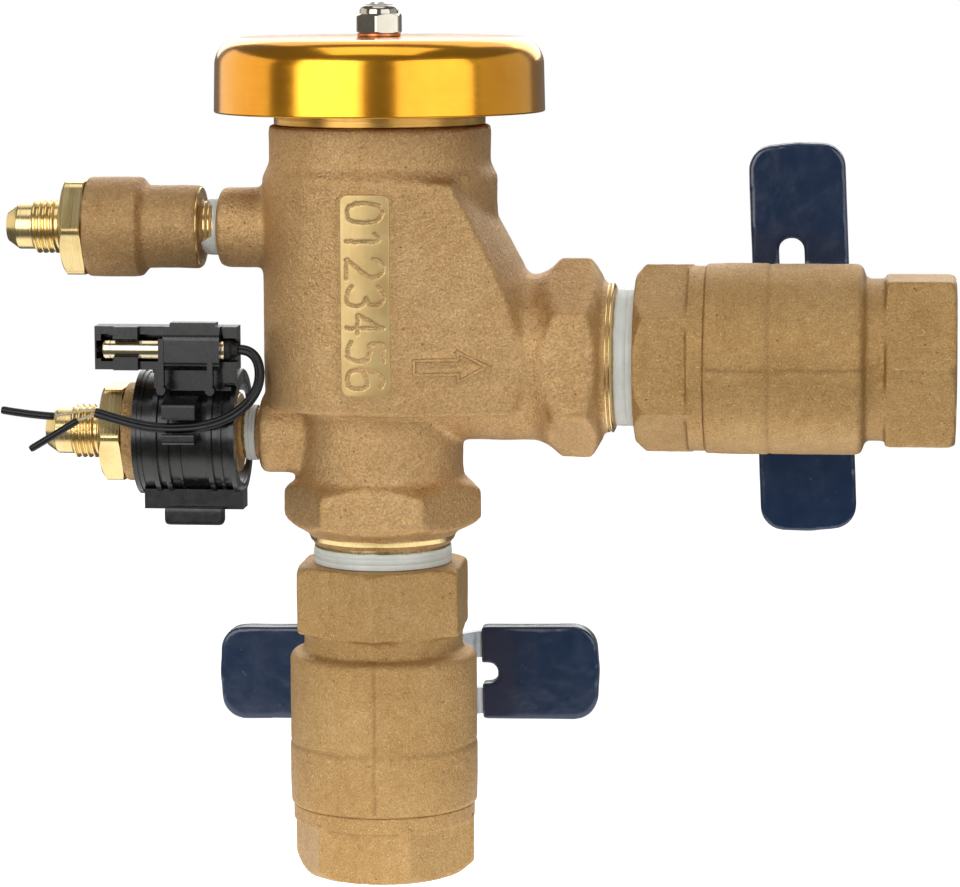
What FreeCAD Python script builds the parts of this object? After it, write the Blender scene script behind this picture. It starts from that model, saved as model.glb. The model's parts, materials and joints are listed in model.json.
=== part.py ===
import FreeCAD, Part
import math
import os

# Pressure vacuum breaker assembly for an irrigation line, nominal 3/4 in, in millimetres.
# A cast angle body carries a bonnet, a canopy, a spring-loaded check poppet and a vent
# poppet. One ball valve is screwed onto the inlet below, one onto the outlet at the side.
# Two test cocks sit on the left, and the lower one carries a clip-on sensor with its lead.
#
# Frame: origin at the centre of the inlet port's end face, +Z up along the body's axis,
# +X along the outlet, and -Y towards the face with the label pad. The valve handles and
# the test cocks' screwdriver stems are on the +Y side.

# ---- driving dimensions: ball valve, measured along its flow axis from the adapter end ----
VALVE_LENGTH = 64.8
VALVE_FLATS = 33.5            # across flats of both hexagon ends
VALVE_BARREL_RADIUS = 19.4
VALVE_NECK_RADIUS = 16.5
VALVE_STEM_Z = 33.1           # stem axis
ADAPTER_HEX_END = 11.0
BARREL_START = 14.8
BARREL_END = 45.9
BODY_HEX_START = 50.6
PORT_RADIUS = 12.6            # 3/4 in pipe thread, drawn at its mean radius
PORT_DEPTH = 14.0
BORE_RADIUS = 9.5
BALL_RADIUS = 12.75
SEAT_REACH = 12.2             # from the ball's centre to the end of each seat
CAVITY_RADIUS = 13.6
ADAPTER_SPIGOT_RADIUS = 15.5
STEM_RADIUS = 4.8
RUNNING_GAP = 0.05            # radial clearance of every turning or sliding fit
BOSS_TOP = 26.5               # stem boss, measured from the flow axis
HANDLE_SPAN = 81.5
HANDLE_WIDTH = 18.3
HANDLE_THICKNESS = 2.6
HANDLE_HUB_Y = 36.8
HANDLE_WING_Y = 41.5
VINYL = 1.15                  # thickness of the dipped coating

# The two handles come from different batches. Each slot is given by its tip along the wing,
# its half width and its shift across the wing, and each coat by where it starts.
INLET_SLOT = (20.9, 3.4, 0.0)
INLET_COAT_START = 16.2
OUTLET_SLOT = (22.75, 3.85, 1.8)
OUTLET_COAT_START = 13.2

# ---- driving dimensions: vacuum breaker body ----
OUTLET_Z = 107.56             # outlet axis
MAIN_RADIUS = 24.1
TOP_RADIUS = 22.7
NECK_RADIUS = 16.8
ARM_RADIUS = 17.0
BODY_FLATS = 36.0
CHAMBER_BOTTOM = 97.4
STEP_Z = 144.7
BODY_TOP = 155.2
CHAMBER_RADIUS = 20.5
BONNET_THREAD_RADIUS = 20.9
CHAMBER_FLOOR = 100.5
INLET_BORE_RADIUS = 12.0
LOWER_HEX = (71.3, 82.5)
OUTLET_HEX = (35.3, 45.8)
THREAD_RADIUS = 13.34         # 3/4 in pipe thread, outside
SPIGOT_RADIUS = 12.55         # the part of the thread inside the valve
NIPPLE_BORE_RADIUS = 9.6
OUTLET_VALVE_X = 52.65        # where the outlet valve starts
INLET_HEX_TURN = -7.3         # the inlet adapter stopped a few degrees round when screwed in
INLET_HANDLE_TURN = -0.9      # both handles rest a little past square
OUTLET_HANDLE_TURN = -2.3

# ---- driving dimensions: check, vent and canopy ----
SEAT_TOP = 102.3
CHECK_LIFT = 8.0
GUIDE_Z = (120.5, 123.5)
POPPET_STEM_RADIUS = 3.0
VENT_TRAVEL = 6.0
VENT_SEAT_Z = 147.25
CANOPY_RADIUS = 33.85
CANOPY_RIM = 157.8
CANOPY_TOP = 173.0
SHEET = 1.0
STUD_RADIUS = 2.08            # No. 8 screw

# ---- driving dimensions: test cocks, measured outwards from the boss face ----
UPPER_COCK = (-33.2, 134.05)  # x of the boss face, z of the axis
LOWER_COCK = (-25.1, 91.4)
LOWER_COCK_STANDOFF = 0.6     # the lower cock is screwed in a little less
COCK_BALL_Z = 19.0
COCK_BALL_RADIUS = 5.4
COCK_BORE_RADIUS = 2.1
COCK_STEM_RADIUS = 2.4
FLARE_THREAD_RADIUS = 5.556   # 7/16 in
FLARE_THREAD = (33.3, 39.8)
COCK_NIPPLE_RADIUS = 5.14     # 1/8 in pipe thread

# ---- driving dimensions: clip-on sensor ----
CLAMP_X = (-50.2, -28.9)
CLAMP_INNER = 10.5
CLAMP_OUTER = 12.3
CLAMP_RIM = 13.2
HINGE_YZ = (3.0, 106.3)
CAPSULE_Y = -10.2
CAPSULE_Z = 109.7
CAPSULE_RADIUS = 2.43
TRAY_X = (-57.6, -28.2)
TRAY_Z = (105.6, 114.5)
LEAD_RADIUS = 1.05

X = FreeCAD.Vector(1, 0, 0)
Y = FreeCAD.Vector(0, 1, 0)
Z = FreeCAD.Vector(0, 0, 1)


def point(x, y, z):
    return FreeCAD.Vector(x, y, z)


# ---------------------------------------------------------------- shape helpers
def rounded_wire(corners):
    """Closed wire in the XY plane. Each corner is (a, b) or (a, b, rounding radius)."""
    spots = [FreeCAD.Vector(c[0], c[1], 0) for c in corners]
    radii = [c[2] if len(c) > 2 else 0 for c in corners]
    bends = []
    for i, spot in enumerate(spots):
        if radii[i] == 0:
            bends.append((spot, None, spot))
            continue
        back = (spots[i - 1] - spot).normalize()
        ahead = (spots[(i + 1) % len(spots)] - spot).normalize()
        half_angle = back.getAngle(ahead) / 2
        inward = (back + ahead).normalize()
        reach = radii[i] / math.tan(half_angle)
        middle = spot + inward * (radii[i] / math.sin(half_angle) - radii[i])
        bends.append((spot + back * reach, middle, spot + ahead * reach))
    edges = []
    for i, (start, middle, end) in enumerate(bends):
        if middle is not None:
            edges.append(Part.Arc(start, middle, end).toShape())
        following = bends[(i + 1) % len(bends)][0]
        if (following - end).Length > 1e-6:
            edges.append(Part.LineSegment(end, following).toShape())
    return Part.Wire(edges)


def lathe(corners):
    """Solid of revolution about Z from corners (radius, z[, rounding])."""
    face = Part.Face(rounded_wire(corners))
    face.rotate(point(0, 0, 0), X, 90)
    return face.revolve(point(0, 0, 0), Z, 360)


def plate(corners, low, high):
    """Flat plate between z = low and z = high with a rounded outline in XY."""
    face = Part.Face(rounded_wire(corners))
    face.translate(point(0, 0, low))
    return face.extrude(point(0, 0, high - low))


def cylinder(radius, low, high):
    return Part.makeCylinder(radius, high - low, point(0, 0, low))


def ring(inner, outer, low, high):
    return cylinder(outer, low, high).cut(cylinder(inner, low - 1, high + 1))


def block(low, high):
    size = [high[i] - low[i] for i in range(3)]
    return Part.makeBox(*size, point(*low))


def aimed(shape, origin, direction):
    """A shape modelled along +Z, moved so that it runs from origin along direction."""
    moved = shape.copy()
    moved.Placement = FreeCAD.Placement(origin, FreeCAD.Rotation(Z, direction)).multiply(moved.Placement)
    return moved


def across(shape):
    """A shape modelled along +Z, turned to run along +Y."""
    return aimed(shape, point(0, 0, 0), Y)


def hexagon(flats, low, high, turn=0, low_radius=None, high_radius=None, low_rise=0, high_rise=0):
    """Hexagon bar along Z with a corner at angle turn, and a conical chamfer at either end."""
    corner = flats / math.sqrt(3)
    outline = []
    for k in range(6):
        angle = math.radians(turn + 60 * k)
        outline.append((corner * math.cos(angle), corner * math.sin(angle)))
    bar = plate(outline, low, high)
    wide = corner + 0.5
    sides = [(0, low), (low_radius or wide, low), (wide, low + low_rise * 1.1 if low_radius else low)]
    sides += [(wide, high - high_rise * 1.1 if high_radius else high), (high_radius or wide, high), (0, high)]
    unique = [c for i, c in enumerate(sides) if i == 0 or c != sides[i - 1]]
    return bar.common(lathe(unique))


def coil(mean_radius, wire_radius, low, high, turns):
    """Compression spring as a run of short straight lengths, twelve to the turn."""
    per_turn = 12
    steps = per_turn * turns
    path = []
    for i in range(steps + 1):
        angle = 2 * math.pi * i / per_turn
        height = low + wire_radius + (high - low - 2 * wire_radius) * i / steps
        path.append(point(mean_radius * math.cos(angle), mean_radius * math.sin(angle), height))
    spine = Part.makePolygon(path)
    section = Part.Wire(Part.makeCircle(wire_radius, path[0], path[1] - path[0]))
    return spine.makePipeShell([section], True, True, 1)


def joined(shapes):
    result = shapes[0]
    for shape in shapes[1:]:
        result = result.fuse(shape)
    return result.removeSplitter()


def group(shapes):
    return Part.makeCompound(shapes)


# ---------------------------------------------------------------- ball valve
def valve_body():
    """Cast body with the stem boss. Its own hexagon end is at the far end from the adapter."""
    barrel = lathe([(0, BARREL_START), (VALVE_BARREL_RADIUS, BARREL_START, 0.5),
                    (VALVE_BARREL_RADIUS, BARREL_END, 1.6), (VALVE_NECK_RADIUS, BARREL_END + 0.8, 1.0),
                    (VALVE_NECK_RADIUS, VALVE_LENGTH - 4), (0, VALVE_LENGTH - 4)])
    end = hexagon(VALVE_FLATS, BODY_HEX_START, VALVE_LENGTH, 30, 18.6, 17.7, 0.8, 1.4)
    boss = across(lathe([(0, 10), (9.6, 10), (9.6, BOSS_TOP, 1.2), (0, BOSS_TOP)]))
    boss.translate(point(0, 0, VALVE_STEM_Z))
    shape = joined([barrel, end, boss])

    socket = cylinder(PORT_RADIUS, VALVE_LENGTH - PORT_DEPTH, VALVE_LENGTH + 1)
    bore = cylinder(BORE_RADIUS, BARREL_START, VALVE_LENGTH)
    cavity = cylinder(CAVITY_RADIUS, VALVE_STEM_Z - SEAT_REACH, VALVE_STEM_Z + SEAT_REACH)
    adapter_bore = cylinder(ADAPTER_SPIGOT_RADIUS, BARREL_START - 1, VALVE_STEM_Z - SEAT_REACH)
    stem_way = across(joined([cylinder(6.6, 0, 16.4), cylinder(STEM_RADIUS + RUNNING_GAP, 0, 30),
                              cylinder(7.1, 20.5, 30)]))
    stem_way.translate(point(0, 0, VALVE_STEM_Z))
    for hollow in (socket, bore, cavity, adapter_bore, stem_way):
        shape = shape.cut(hollow)
    return shape


def valve_end(turn):
    """Adapter screwed into the body: hexagon, shoulder band and spigot."""
    head = hexagon(VALVE_FLATS, 0, ADAPTER_HEX_END, turn, 16.9, 18.2, 1.9, 1.1)
    band = lathe([(0, 9), (18.9, 9), (18.9, BARREL_START, 0.3), (0, BARREL_START)])
    spigot = cylinder(ADAPTER_SPIGOT_RADIUS, 9, VALVE_STEM_Z - SEAT_REACH)
    shape = joined([head, band, spigot])
    return shape.cut(cylinder(PORT_RADIUS, -1, PORT_DEPTH)).cut(cylinder(BORE_RADIUS, 0, BARREL_START + 10))


def valve_ball():
    """Ball at rest across the flow, with the slot that the stem's tongue turns it by."""
    ball = Part.makeSphere(BALL_RADIUS)
    ball = ball.cut(aimed(cylinder(BORE_RADIUS, -20, 20), point(0, 0, 0), X))
    ball = ball.cut(block((-2.3, 10.3, -15), (2.3, 15, 15)))
    ball.translate(point(0, 0, VALVE_STEM_Z))
    return ball


def valve_seats():
    """One sealing ring on each side of the ball."""
    seats = []
    for side in (-1, 1):
        low, high = sorted((side * 6.8, side * SEAT_REACH))
        seat = ring(BORE_RADIUS + 0.1, CAVITY_RADIUS, low, high)
        seat = seat.cut(Part.makeSphere(BALL_RADIUS + RUNNING_GAP))
        seat.translate(point(0, 0, VALVE_STEM_Z))
        seats.append(seat)
    return group(seats)


def valve_stem():
    """Blow-out-proof stem: tongue, flange, journal, two flats for the handle, thread."""
    tongue = block((-2.2, 10.6, -5.4), (2.2, 13.6, 5.4))
    flange = across(cylinder(6.4, 13.4, 15.7))
    journal = across(cylinder(STEM_RADIUS, 15.7, 30.6))
    shank = across(cylinder(4.2, 30.6, HANDLE_HUB_Y + HANDLE_THICKNESS))
    flats = block((-3.0, HANDLE_HUB_Y, -5), (3.0, 60, 5))
    outside = across(cylinder(9, HANDLE_HUB_Y, 60)).cut(flats)
    thread = across(lathe([(0, 30), (3.0, 30), (3.0, 46.2, 0.6), (0, 46.2)]))
    shape = joined([tongue, flange, journal, shank.cut(outside), thread])
    shape.translate(point(0, 0, VALVE_STEM_Z))
    return shape


def valve_stem_seals():
    """Thrust washer under the boss and the packing ring inside it."""
    washer = across(ring(STEM_RADIUS + RUNNING_GAP, 6.6, 15.75, 16.4))
    packing = across(ring(STEM_RADIUS + RUNNING_GAP, 7.1, 20.5, 24.5))
    for seal in (washer, packing):
        seal.translate(point(0, 0, VALVE_STEM_Z))
    return group([washer, packing])


def valve_gland_nut():
    thread = cylinder(7.1, 24.5, BOSS_TOP)
    head = hexagon(15.9, BOSS_TOP, 30.2, 0, None, 7.7, 0, 0.8)
    shape = across(joined([thread, head]).cut(cylinder(STEM_RADIUS + RUNNING_GAP, 20, 35)))
    shape.translate(point(0, 0, VALVE_STEM_Z))
    return shape


def wing_outline(half_span, half_width, corner):
    """Plan of one wing, from the middle out to its slightly bulged end."""
    bulge = 0.7
    return [(0, -half_width), (half_span - bulge, -half_width, corner), (half_span, 0, 12),
            (half_span - bulge, half_width, corner), (0, half_width)]


def slot_outline(start, slot, inset=0.0):
    """Slot from start to its round tip, narrowed by inset all round."""
    tip, half_width, shift = slot
    tip -= inset
    half_width -= inset
    low, high = shift - half_width, shift + half_width
    bend = half_width * 0.95
    return [(start, low), (tip, low, bend), (tip, high, bend), (start, high)]


def handle_strip(spread):
    """Side view of the bent strip, thickened by spread on both faces, as a long bar along Z."""
    low = HANDLE_HUB_Y - spread
    high = HANDLE_HUB_Y + HANDLE_THICKNESS + spread
    lift = HANDLE_WING_Y - HANDLE_HUB_Y
    reach = 60
    lower = [(-reach, low + lift), (-15.6, low + lift, 2), (-11, low, 2), (11, low, 2),
             (15.6, low + lift, 2), (reach, low + lift)]
    upper = [(reach, high + lift), (15.6, high + lift, 2), (11, high, 2), (-11, high, 2),
             (-15.6, high + lift, 2), (-reach, high + lift)]
    return plate(lower + upper, -30, 30)


def handle_plan(corners):
    """An outline in the wing's plane, given as (along the wing, across it), cut through in Y."""
    shape = plate(corners, -80, 80)
    shape.rotate(point(0, 0, 0), X, 90)
    return shape


def valve_handle(slot_size):
    """Bent steel strip with two wings, a slot in each, and a hole with two flats."""
    half = HANDLE_SPAN / 2
    wing = handle_plan(wing_outline(half, HANDLE_WIDTH / 2, 4.4))
    other = wing.copy()
    other.rotate(point(0, 0, 0), Y, 180)
    shape = handle_strip(0).common(joined([wing, other]))
    for turn in (0, 180):
        slot = handle_plan(slot_outline(9.0, slot_size))
        slot.rotate(point(0, 0, 0), Y, turn)
        shape = shape.cut(slot)
    hole = across(cylinder(4.2, 30, 50)).common(block((-3.0, 30, -5), (3.0, 50, 5)))
    shape = shape.cut(hole)
    shape.translate(point(0, 0, VALVE_STEM_Z))
    return shape


def valve_grips(handle, slot_size, start):
    """Dipped vinyl coat on the outer part of each wing, running into the slot's end."""
    coats = []
    half = HANDLE_SPAN / 2
    for turn in (0, 180):
        outline = wing_outline(half + VINYL, HANDLE_WIDTH / 2 + VINYL, 5.2)
        outline[0] = (start, outline[0][1], 0.8)
        outline[-1] = (start, outline[-1][1], 0.8)
        coat = handle_plan(outline)
        coat = coat.cut(handle_plan(slot_outline(9.0, slot_size, VINYL)))
        coat.rotate(point(0, 0, 0), Y, turn)
        coat = coat.common(handle_strip(VINYL))
        coat.translate(point(0, 0, VALVE_STEM_Z))
        coats.append(coat.cut(handle))
    return group(coats)


def valve_handle_nut():
    low = HANDLE_HUB_Y + HANDLE_THICKNESS
    nut = hexagon(10.0, low, low + 4.4, 0, None, 4.9, 0, 0.6).cut(cylinder(3.0, 30, 60))
    shape = across(nut)
    shape.translate(point(0, 0, VALVE_STEM_Z))
    return shape


def ball_valve(adapter_turn, handle_turn, slot_size, coat_start):
    """All the pieces of one valve. The stem, ball and handle may rest a little past square."""
    handle = valve_handle(slot_size)
    turning = {"ball": valve_ball(), "stem": valve_stem(), "handle": handle,
               "handle_grips": valve_grips(handle, slot_size, coat_start), "handle_nut": valve_handle_nut()}
    for shape in turning.values():
        shape.rotate(point(0, 0, VALVE_STEM_Z), Y, handle_turn)
    fixed = {"valve_body": valve_body(), "valve_end": valve_end(adapter_turn), "ball_seats": valve_seats(),
             "stem_seals": valve_stem_seals(), "gland_nut": valve_gland_nut()}
    return {**fixed, **turning}


# ---------------------------------------------------------------- body of the vacuum breaker
def body_fairing():
    """Shoulder between chamber and outlet: flat faces in plan under a cone about the outlet."""
    touch = (5.75, 23.4)
    edge = (31.0, 17.2)
    plan = plate([(0, -touch[1]), (touch[0], -touch[1]), (edge[0], -edge[1]), (edge[0], edge[1]),
                  (touch[0], touch[1]), (0, touch[1])], CHAMBER_BOTTOM, STEP_Z)
    cone = lathe([(0, 0), (60, 0), (60, 6.95), (ARM_RADIUS + 0.05, 30.35, 3.0), (ARM_RADIUS - 0.3, 33),
                  (0, 33)])
    return plan.common(aimed(cone, point(0, 0, OUTLET_Z), X))


def body_outside():
    """Everything of the casting's outside, as one solid without its bores."""
    column = lathe([(0, 51.8), (SPIGOT_RADIUS, 51.8, 0.4), (SPIGOT_RADIUS, VALVE_LENGTH),
                    (THREAD_RADIUS, VALVE_LENGTH), (THREAD_RADIUS, 68.4), (14.0, 68.4), (14.0, 69.4),
                    (14.5, 69.4, 0.2), (15.3, LOWER_HEX[0]), (15.3, 76), (NECK_RADIUS + 0.4, 82),
                    (NECK_RADIUS, 84.5, 2), (NECK_RADIUS, CHAMBER_BOTTOM, 1.5),
                    (MAIN_RADIUS, CHAMBER_BOTTOM, 2.4), (MAIN_RADIUS, STEP_Z, 0.9),
                    (TOP_RADIUS, STEP_Z + 2.6, 0.9), (TOP_RADIUS, BODY_TOP, 0.4), (0, BODY_TOP)])
    arm = lathe([(0, 0), (ARM_RADIUS, 0), (ARM_RADIUS, 32.6, 2.5), (18.6, OUTLET_HEX[0] + 0.4),
                 (15.6, OUTLET_HEX[0] + 2), (15.6, OUTLET_HEX[1]), (15.15, 46.2), (15.15, 46.9),
                 (14.9, 47.05), (15.15, 47.2), (15.15, 47.7), (14.9, 47.85), (15.05, 48.0), (15.05, 48.4),
                 (THREAD_RADIUS, 48.4), (THREAD_RADIUS, OUTLET_VALVE_X), (SPIGOT_RADIUS, OUTLET_VALVE_X),
                 (SPIGOT_RADIUS, OUTLET_VALVE_X + 13, 0.4), (0, OUTLET_VALVE_X + 13)])
    arm = aimed(arm, point(0, 0, OUTLET_Z), X)
    lower_hex = hexagon(BODY_FLATS, *LOWER_HEX, 0, 15.3, 17.1, 2.6, 2.6)
    outlet_hex = aimed(hexagon(BODY_FLATS, *OUTLET_HEX, 0, 18.2, 16.6, 2.0, 2.4), point(0, 0, OUTLET_Z), X)
    bosses = []
    for x, z, length in ((*UPPER_COCK, 20), (*LOWER_COCK, 16)):
        boss = lathe([(0, 0), (8.25, 0, 1.3), (8.25, length), (0, length)])
        bosses.append(aimed(boss, point(x, 0, z), X))
    return joined([column, arm, body_fairing(), lower_hex, outlet_hex] + bosses)


def label_pad():
    """Raised blank pad that follows the chamber's round front."""
    outline = plate([(-5.1, 101.8, 1.8), (5.1, 101.8, 1.8), (5.1, 142.5, 1.8), (-5.1, 142.5, 1.8)], 0, 40)
    outline.rotate(point(0, 0, 0), X, 90)
    return outline.common(ring(MAIN_RADIUS - 1.5, MAIN_RADIUS + 0.55, 100, 144))


def flow_arrow():
    """Raised outline of an arrow on the fairing's flat front, pointing to the outlet."""
    lean = math.degrees(math.atan2(23.4 - 17.2, 31.0 - 5.75))
    start = 6.9
    neck = 15.9
    tip = 22.7

    def arrow(inset):
        shaft = 1.65 - inset
        head = 3.3 - 1.5 * inset
        return plate([(start + inset, -shaft), (neck + inset, -shaft), (neck + inset, -head),
                      (tip - 2.4 * inset, 0), (neck + inset, head), (neck + inset, shaft),
                      (start + inset, shaft)], 0, 1.5)

    shape = arrow(0).cut(arrow(0.6))
    shape.rotate(point(0, 0, 0), X, 90)
    shape.translate(point(0, 1.0, 0))
    shape.rotate(point(0, 0, 0), Z, lean)
    shape.translate(point(5.75, -23.4, OUTLET_Z + 0.1) - point(2.9, 0.75, 0))
    return shape


def body_casting():
    shape = joined([body_outside(), label_pad(), flow_arrow()])
    hollows = [cylinder(NIPPLE_BORE_RADIUS, 50, 73), cylinder(INLET_BORE_RADIUS, 72, CHAMBER_FLOOR),
               cylinder(15.0, 98.5, CHAMBER_FLOOR + 1), cylinder(CHAMBER_RADIUS, CHAMBER_FLOOR, 149),
               cylinder(BONNET_THREAD_RADIUS, 148, 160)]
    outlet = joined([cylinder(INLET_BORE_RADIUS, 17, 47), cylinder(NIPPLE_BORE_RADIUS, 46, 70)])
    hollows.append(aimed(outlet, point(0, 0, OUTLET_Z), X))
    for x, z, depth in ((*UPPER_COCK, 16), (*LOWER_COCK, 16)):
        tap = joined([cylinder(COCK_NIPPLE_RADIUS, -1, 7.6), cylinder(2.3, 0, depth)])
        hollows.append(aimed(tap, point(x, 0, z), X))
    for hollow in hollows:
        shape = shape.cut(hollow)
    return shape


def valve_thread_tape():
    """Turns of sealing tape that show between the body's two hexagons and the valves."""
    lower = lathe([(THREAD_RADIUS, VALVE_LENGTH), (14.3, VALVE_LENGTH, 0.3), (14.0, 66.6, 0.5),
                   (14.1, 68.4, 0.2), (THREAD_RADIUS, 68.4)])
    outer = lathe([(THREAD_RADIUS, 48.4), (13.95, 48.4, 0.2), (13.75, 49.6, 0.4), (14.0, 51.0, 0.4),
                   (13.9, OUTLET_VALVE_X, 0.2), (THREAD_RADIUS, OUTLET_VALVE_X)])
    return group([lower, aimed(outer, point(0, 0, OUTLET_Z), X)])


# ---------------------------------------------------------------- check, vent, bonnet, canopy
def check_seat():
    shape = lathe([(11.0, 98.5), (15.0, 98.5), (15.0, 101.0, 0.3), (12.6, 101.4), (12.2, SEAT_TOP, 0.3),
                   (11.3, SEAT_TOP, 0.3), (11.0, 101.4)])
    return shape.cut(ring(13.7, 16, 99.0, 100.1))


def check_seat_o_ring():
    return lathe([(13.7, 99.0, 0.3), (15.0, 99.0, 0.3), (15.0, 100.1, 0.3), (13.7, 100.1, 0.3)])


def check_poppet():
    """Disc holder with its guide stem."""
    shape = lathe([(0, 104.2), (13.3, 104.2, 0.4), (13.3, 106.4, 0.4), (8.0, 106.9),
                   (POPPET_STEM_RADIUS, 106.9, 0.4), (POPPET_STEM_RADIUS, 125.5, 0.5), (0, 125.5)])
    return shape.cut(cylinder(1.5, 100, 110))


def check_disc():
    return ring(1.5, 12.9, SEAT_TOP + 0.03, 104.2)


def check_disc_screw():
    head = lathe([(0, 100.7), (3.2, 100.7, 0.7), (3.2, SEAT_TOP + 0.03), (0, SEAT_TOP + 0.03)])
    screw = joined([head, cylinder(1.5, SEAT_TOP, 109.5)])
    return screw.cut(block((-4, -0.5, 100), (4, 0.5, 101.4)))


def check_spring():
    return coil(5.9, 0.5, 106.95, GUIDE_Z[0], 6)


def check_guide():
    """Spider pressed into the chamber above the outlet, with the hub that guides the stem."""
    rim = ring(17.8, CHAMBER_RADIUS, *GUIDE_Z)
    hub = cylinder(7.0, *GUIDE_Z)
    spokes = []
    for turn in (30, 150, 270):
        spoke = block((4, -1.6, GUIDE_Z[0]), (19, 1.6, GUIDE_Z[1]))
        spoke.rotate(point(0, 0, 0), Z, turn)
        spokes.append(spoke)
    return joined([rim, hub] + spokes).cut(cylinder(POPPET_STEM_RADIUS + RUNNING_GAP, 119, 125))


def vent_poppet():
    """Plate that drops open with no pressure and lifts against the bonnet with pressure."""
    top = VENT_SEAT_Z - VENT_TRAVEL - 1.7
    shape = lathe([(0, top - 2.4), (16.6, top - 2.4, 0.8), (16.6, top, 0.4), (POPPET_STEM_RADIUS, top),
                   (POPPET_STEM_RADIUS, top + 15.2, 0.5), (0, top + 15.2)])
    return shape.cut(joined([ring(7, 13.5, top - 3, top - 1.3)]))


def vent_disc():
    top = VENT_SEAT_Z - VENT_TRAVEL
    return ring(POPPET_STEM_RADIUS, 15.9, top - 1.7, top - 0.03)


def vent_disc_retainer():
    top = VENT_SEAT_Z - VENT_TRAVEL
    return lathe([(POPPET_STEM_RADIUS, top - 0.03), (8.2, top - 0.03), (8.2, top + 0.7, 0.3),
                  (POPPET_STEM_RADIUS, top + 0.7)])


def vent_spring():
    return coil(6.2, 0.4, VENT_SEAT_Z - VENT_TRAVEL + 0.75, 152.6, 4)


def bonnet():
    """Screwed ring with the vent seat below, and a hub on four spokes that carries the canopy."""
    rim = lathe([(13.2, 148.0), (13.2, VENT_SEAT_Z, 0.3), (14.6, VENT_SEAT_Z, 0.3), (15.0, 148.0),
                 (BONNET_THREAD_RADIUS, 148.0), (BONNET_THREAD_RADIUS, BODY_TOP), (21.65, BODY_TOP, 0.3),
                 (21.65, 158.2, 0.5), (14.2, 158.2, 0.5), (13.2, 156.0)])
    rim = rim.cut(ring(20.0, 21, 153.2, BODY_TOP))
    hub = lathe([(0, 148.3), (4.7, 148.3, 0.3), (4.7, 152.6), (8.0, 152.6, 0.4), (8.0, 158.6, 1.5),
                 (5.6, 160, 1.0), (5.2, CANOPY_TOP - SHEET), (0, CANOPY_TOP - SHEET)])
    spokes = []
    for turn in (45, 135, 225, 315):
        spoke = block((5, -1.8, 153.2), (14.6, 1.8, 157.6))
        spoke.rotate(point(0, 0, 0), Z, turn)
        spokes.append(spoke)
    shape = joined([rim, hub] + spokes)
    shape = shape.cut(cylinder(POPPET_STEM_RADIUS + RUNNING_GAP, 140, 162))
    return shape.cut(cylinder(STUD_RADIUS, 163, 180))


def bonnet_o_ring():
    return lathe([(20.0, 153.2, 0.3), (BONNET_THREAD_RADIUS, 153.2, 0.3), (BONNET_THREAD_RADIUS, 154.8, 0.3),
                  (20.0, 154.8, 0.3)])


def canopy():
    """Pressed sheet cap, open below, with a very slight outward lean to its rim."""
    return lathe([(2.3, CANOPY_TOP), (33.5, CANOPY_TOP, 5.6), (CANOPY_RADIUS, CANOPY_RIM, 0.35),
                  (CANOPY_RADIUS - SHEET, CANOPY_RIM, 0.35), (33.5 - SHEET, CANOPY_TOP - SHEET, 4.6),
                  (2.3, CANOPY_TOP - SHEET)])


def canopy_washer():
    return lathe([(2.2, CANOPY_TOP), (4.45, CANOPY_TOP, 0.2), (4.45, CANOPY_TOP + 0.8, 0.2),
                  (2.2, CANOPY_TOP + 0.8)])


def canopy_nut():
    """Lock nut with a rounded collar over its nylon ring; one corner points to the front."""
    low = CANOPY_TOP + 0.8
    body = hexagon(8.75, low, low + 3.9, 30, 4.5, 4.35, 0.4, 0.6)
    collar = lathe([(0, low + 3), (3.95, low + 3), (3.95, low + 5.7, 1.3), (0, low + 5.7)])
    return joined([body, collar]).cut(cylinder(STUD_RADIUS, low - 1, low + 8))


def canopy_stud():
    return lathe([(0, 163.2), (STUD_RADIUS, 163.2, 0.3), (STUD_RADIUS, 180.0, 0.5), (0, 180.0)])


# ---------------------------------------------------------------- test cocks
def cock_body():
    """Casting with a threaded nipple, a small and a large drum, and the stem boss behind."""
    drums = lathe([(0, -7.4), (COCK_NIPPLE_RADIUS, -7.4, 0.4), (COCK_NIPPLE_RADIUS, 3.7), (8.55, 3.9, 0.7),
                   (8.55, 15.0), (10.25, 16.4, 0.5), (10.25, 27.5, 0.5), (0, 27.5)])
    boss = across(lathe([(0, 2), (4.2, 2), (4.2, 12.8, 0.6), (0, 12.8)]))
    boss.translate(point(0, 0, COCK_BALL_Z))
    shape = joined([drums, boss])
    stem_way = across(joined([cylinder(3.3, 0, 7.3), cylinder(COCK_STEM_RADIUS + RUNNING_GAP, 0, 14),
                              cylinder(3.3, 9.0, 10.4)]))
    stem_way.translate(point(0, 0, COCK_BALL_Z))
    for hollow in (cylinder(COCK_BORE_RADIUS, -8, 20), cylinder(6.0, COCK_BALL_Z - 5.2, COCK_BALL_Z + 5.2),
                   cylinder(7.6, COCK_BALL_Z + 5.2, 30), stem_way):
        shape = shape.cut(hollow)
    return shape


def cock_flare_end():
    """Hexagon insert with the 45 degree flare male end."""
    spigot = cylinder(7.6, COCK_BALL_Z + 5.2, 28)
    head = hexagon(19.05, 27.5, 32.1, 28.5, 10.3, 10.2, 0.4, 0.7)
    low, high = FLARE_THREAD
    nose = lathe([(0, 30), (4.75, 30), (4.75, low), (FLARE_THREAD_RADIUS, low + 0.5),
                  (FLARE_THREAD_RADIUS, high - 0.5), (4.85, high), (4.4, high), (4.4, 42.2, 0.5),
                  (2.9, 44.5, 0.3), (0, 44.5)])
    shape = joined([spigot, head, nose]).cut(cylinder(COCK_BORE_RADIUS, 20, 50))
    return shape.cut(Part.makeCone(COCK_BORE_RADIUS, COCK_BORE_RADIUS + 0.5, 0.6, point(0, 0, 44.0)))


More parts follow.
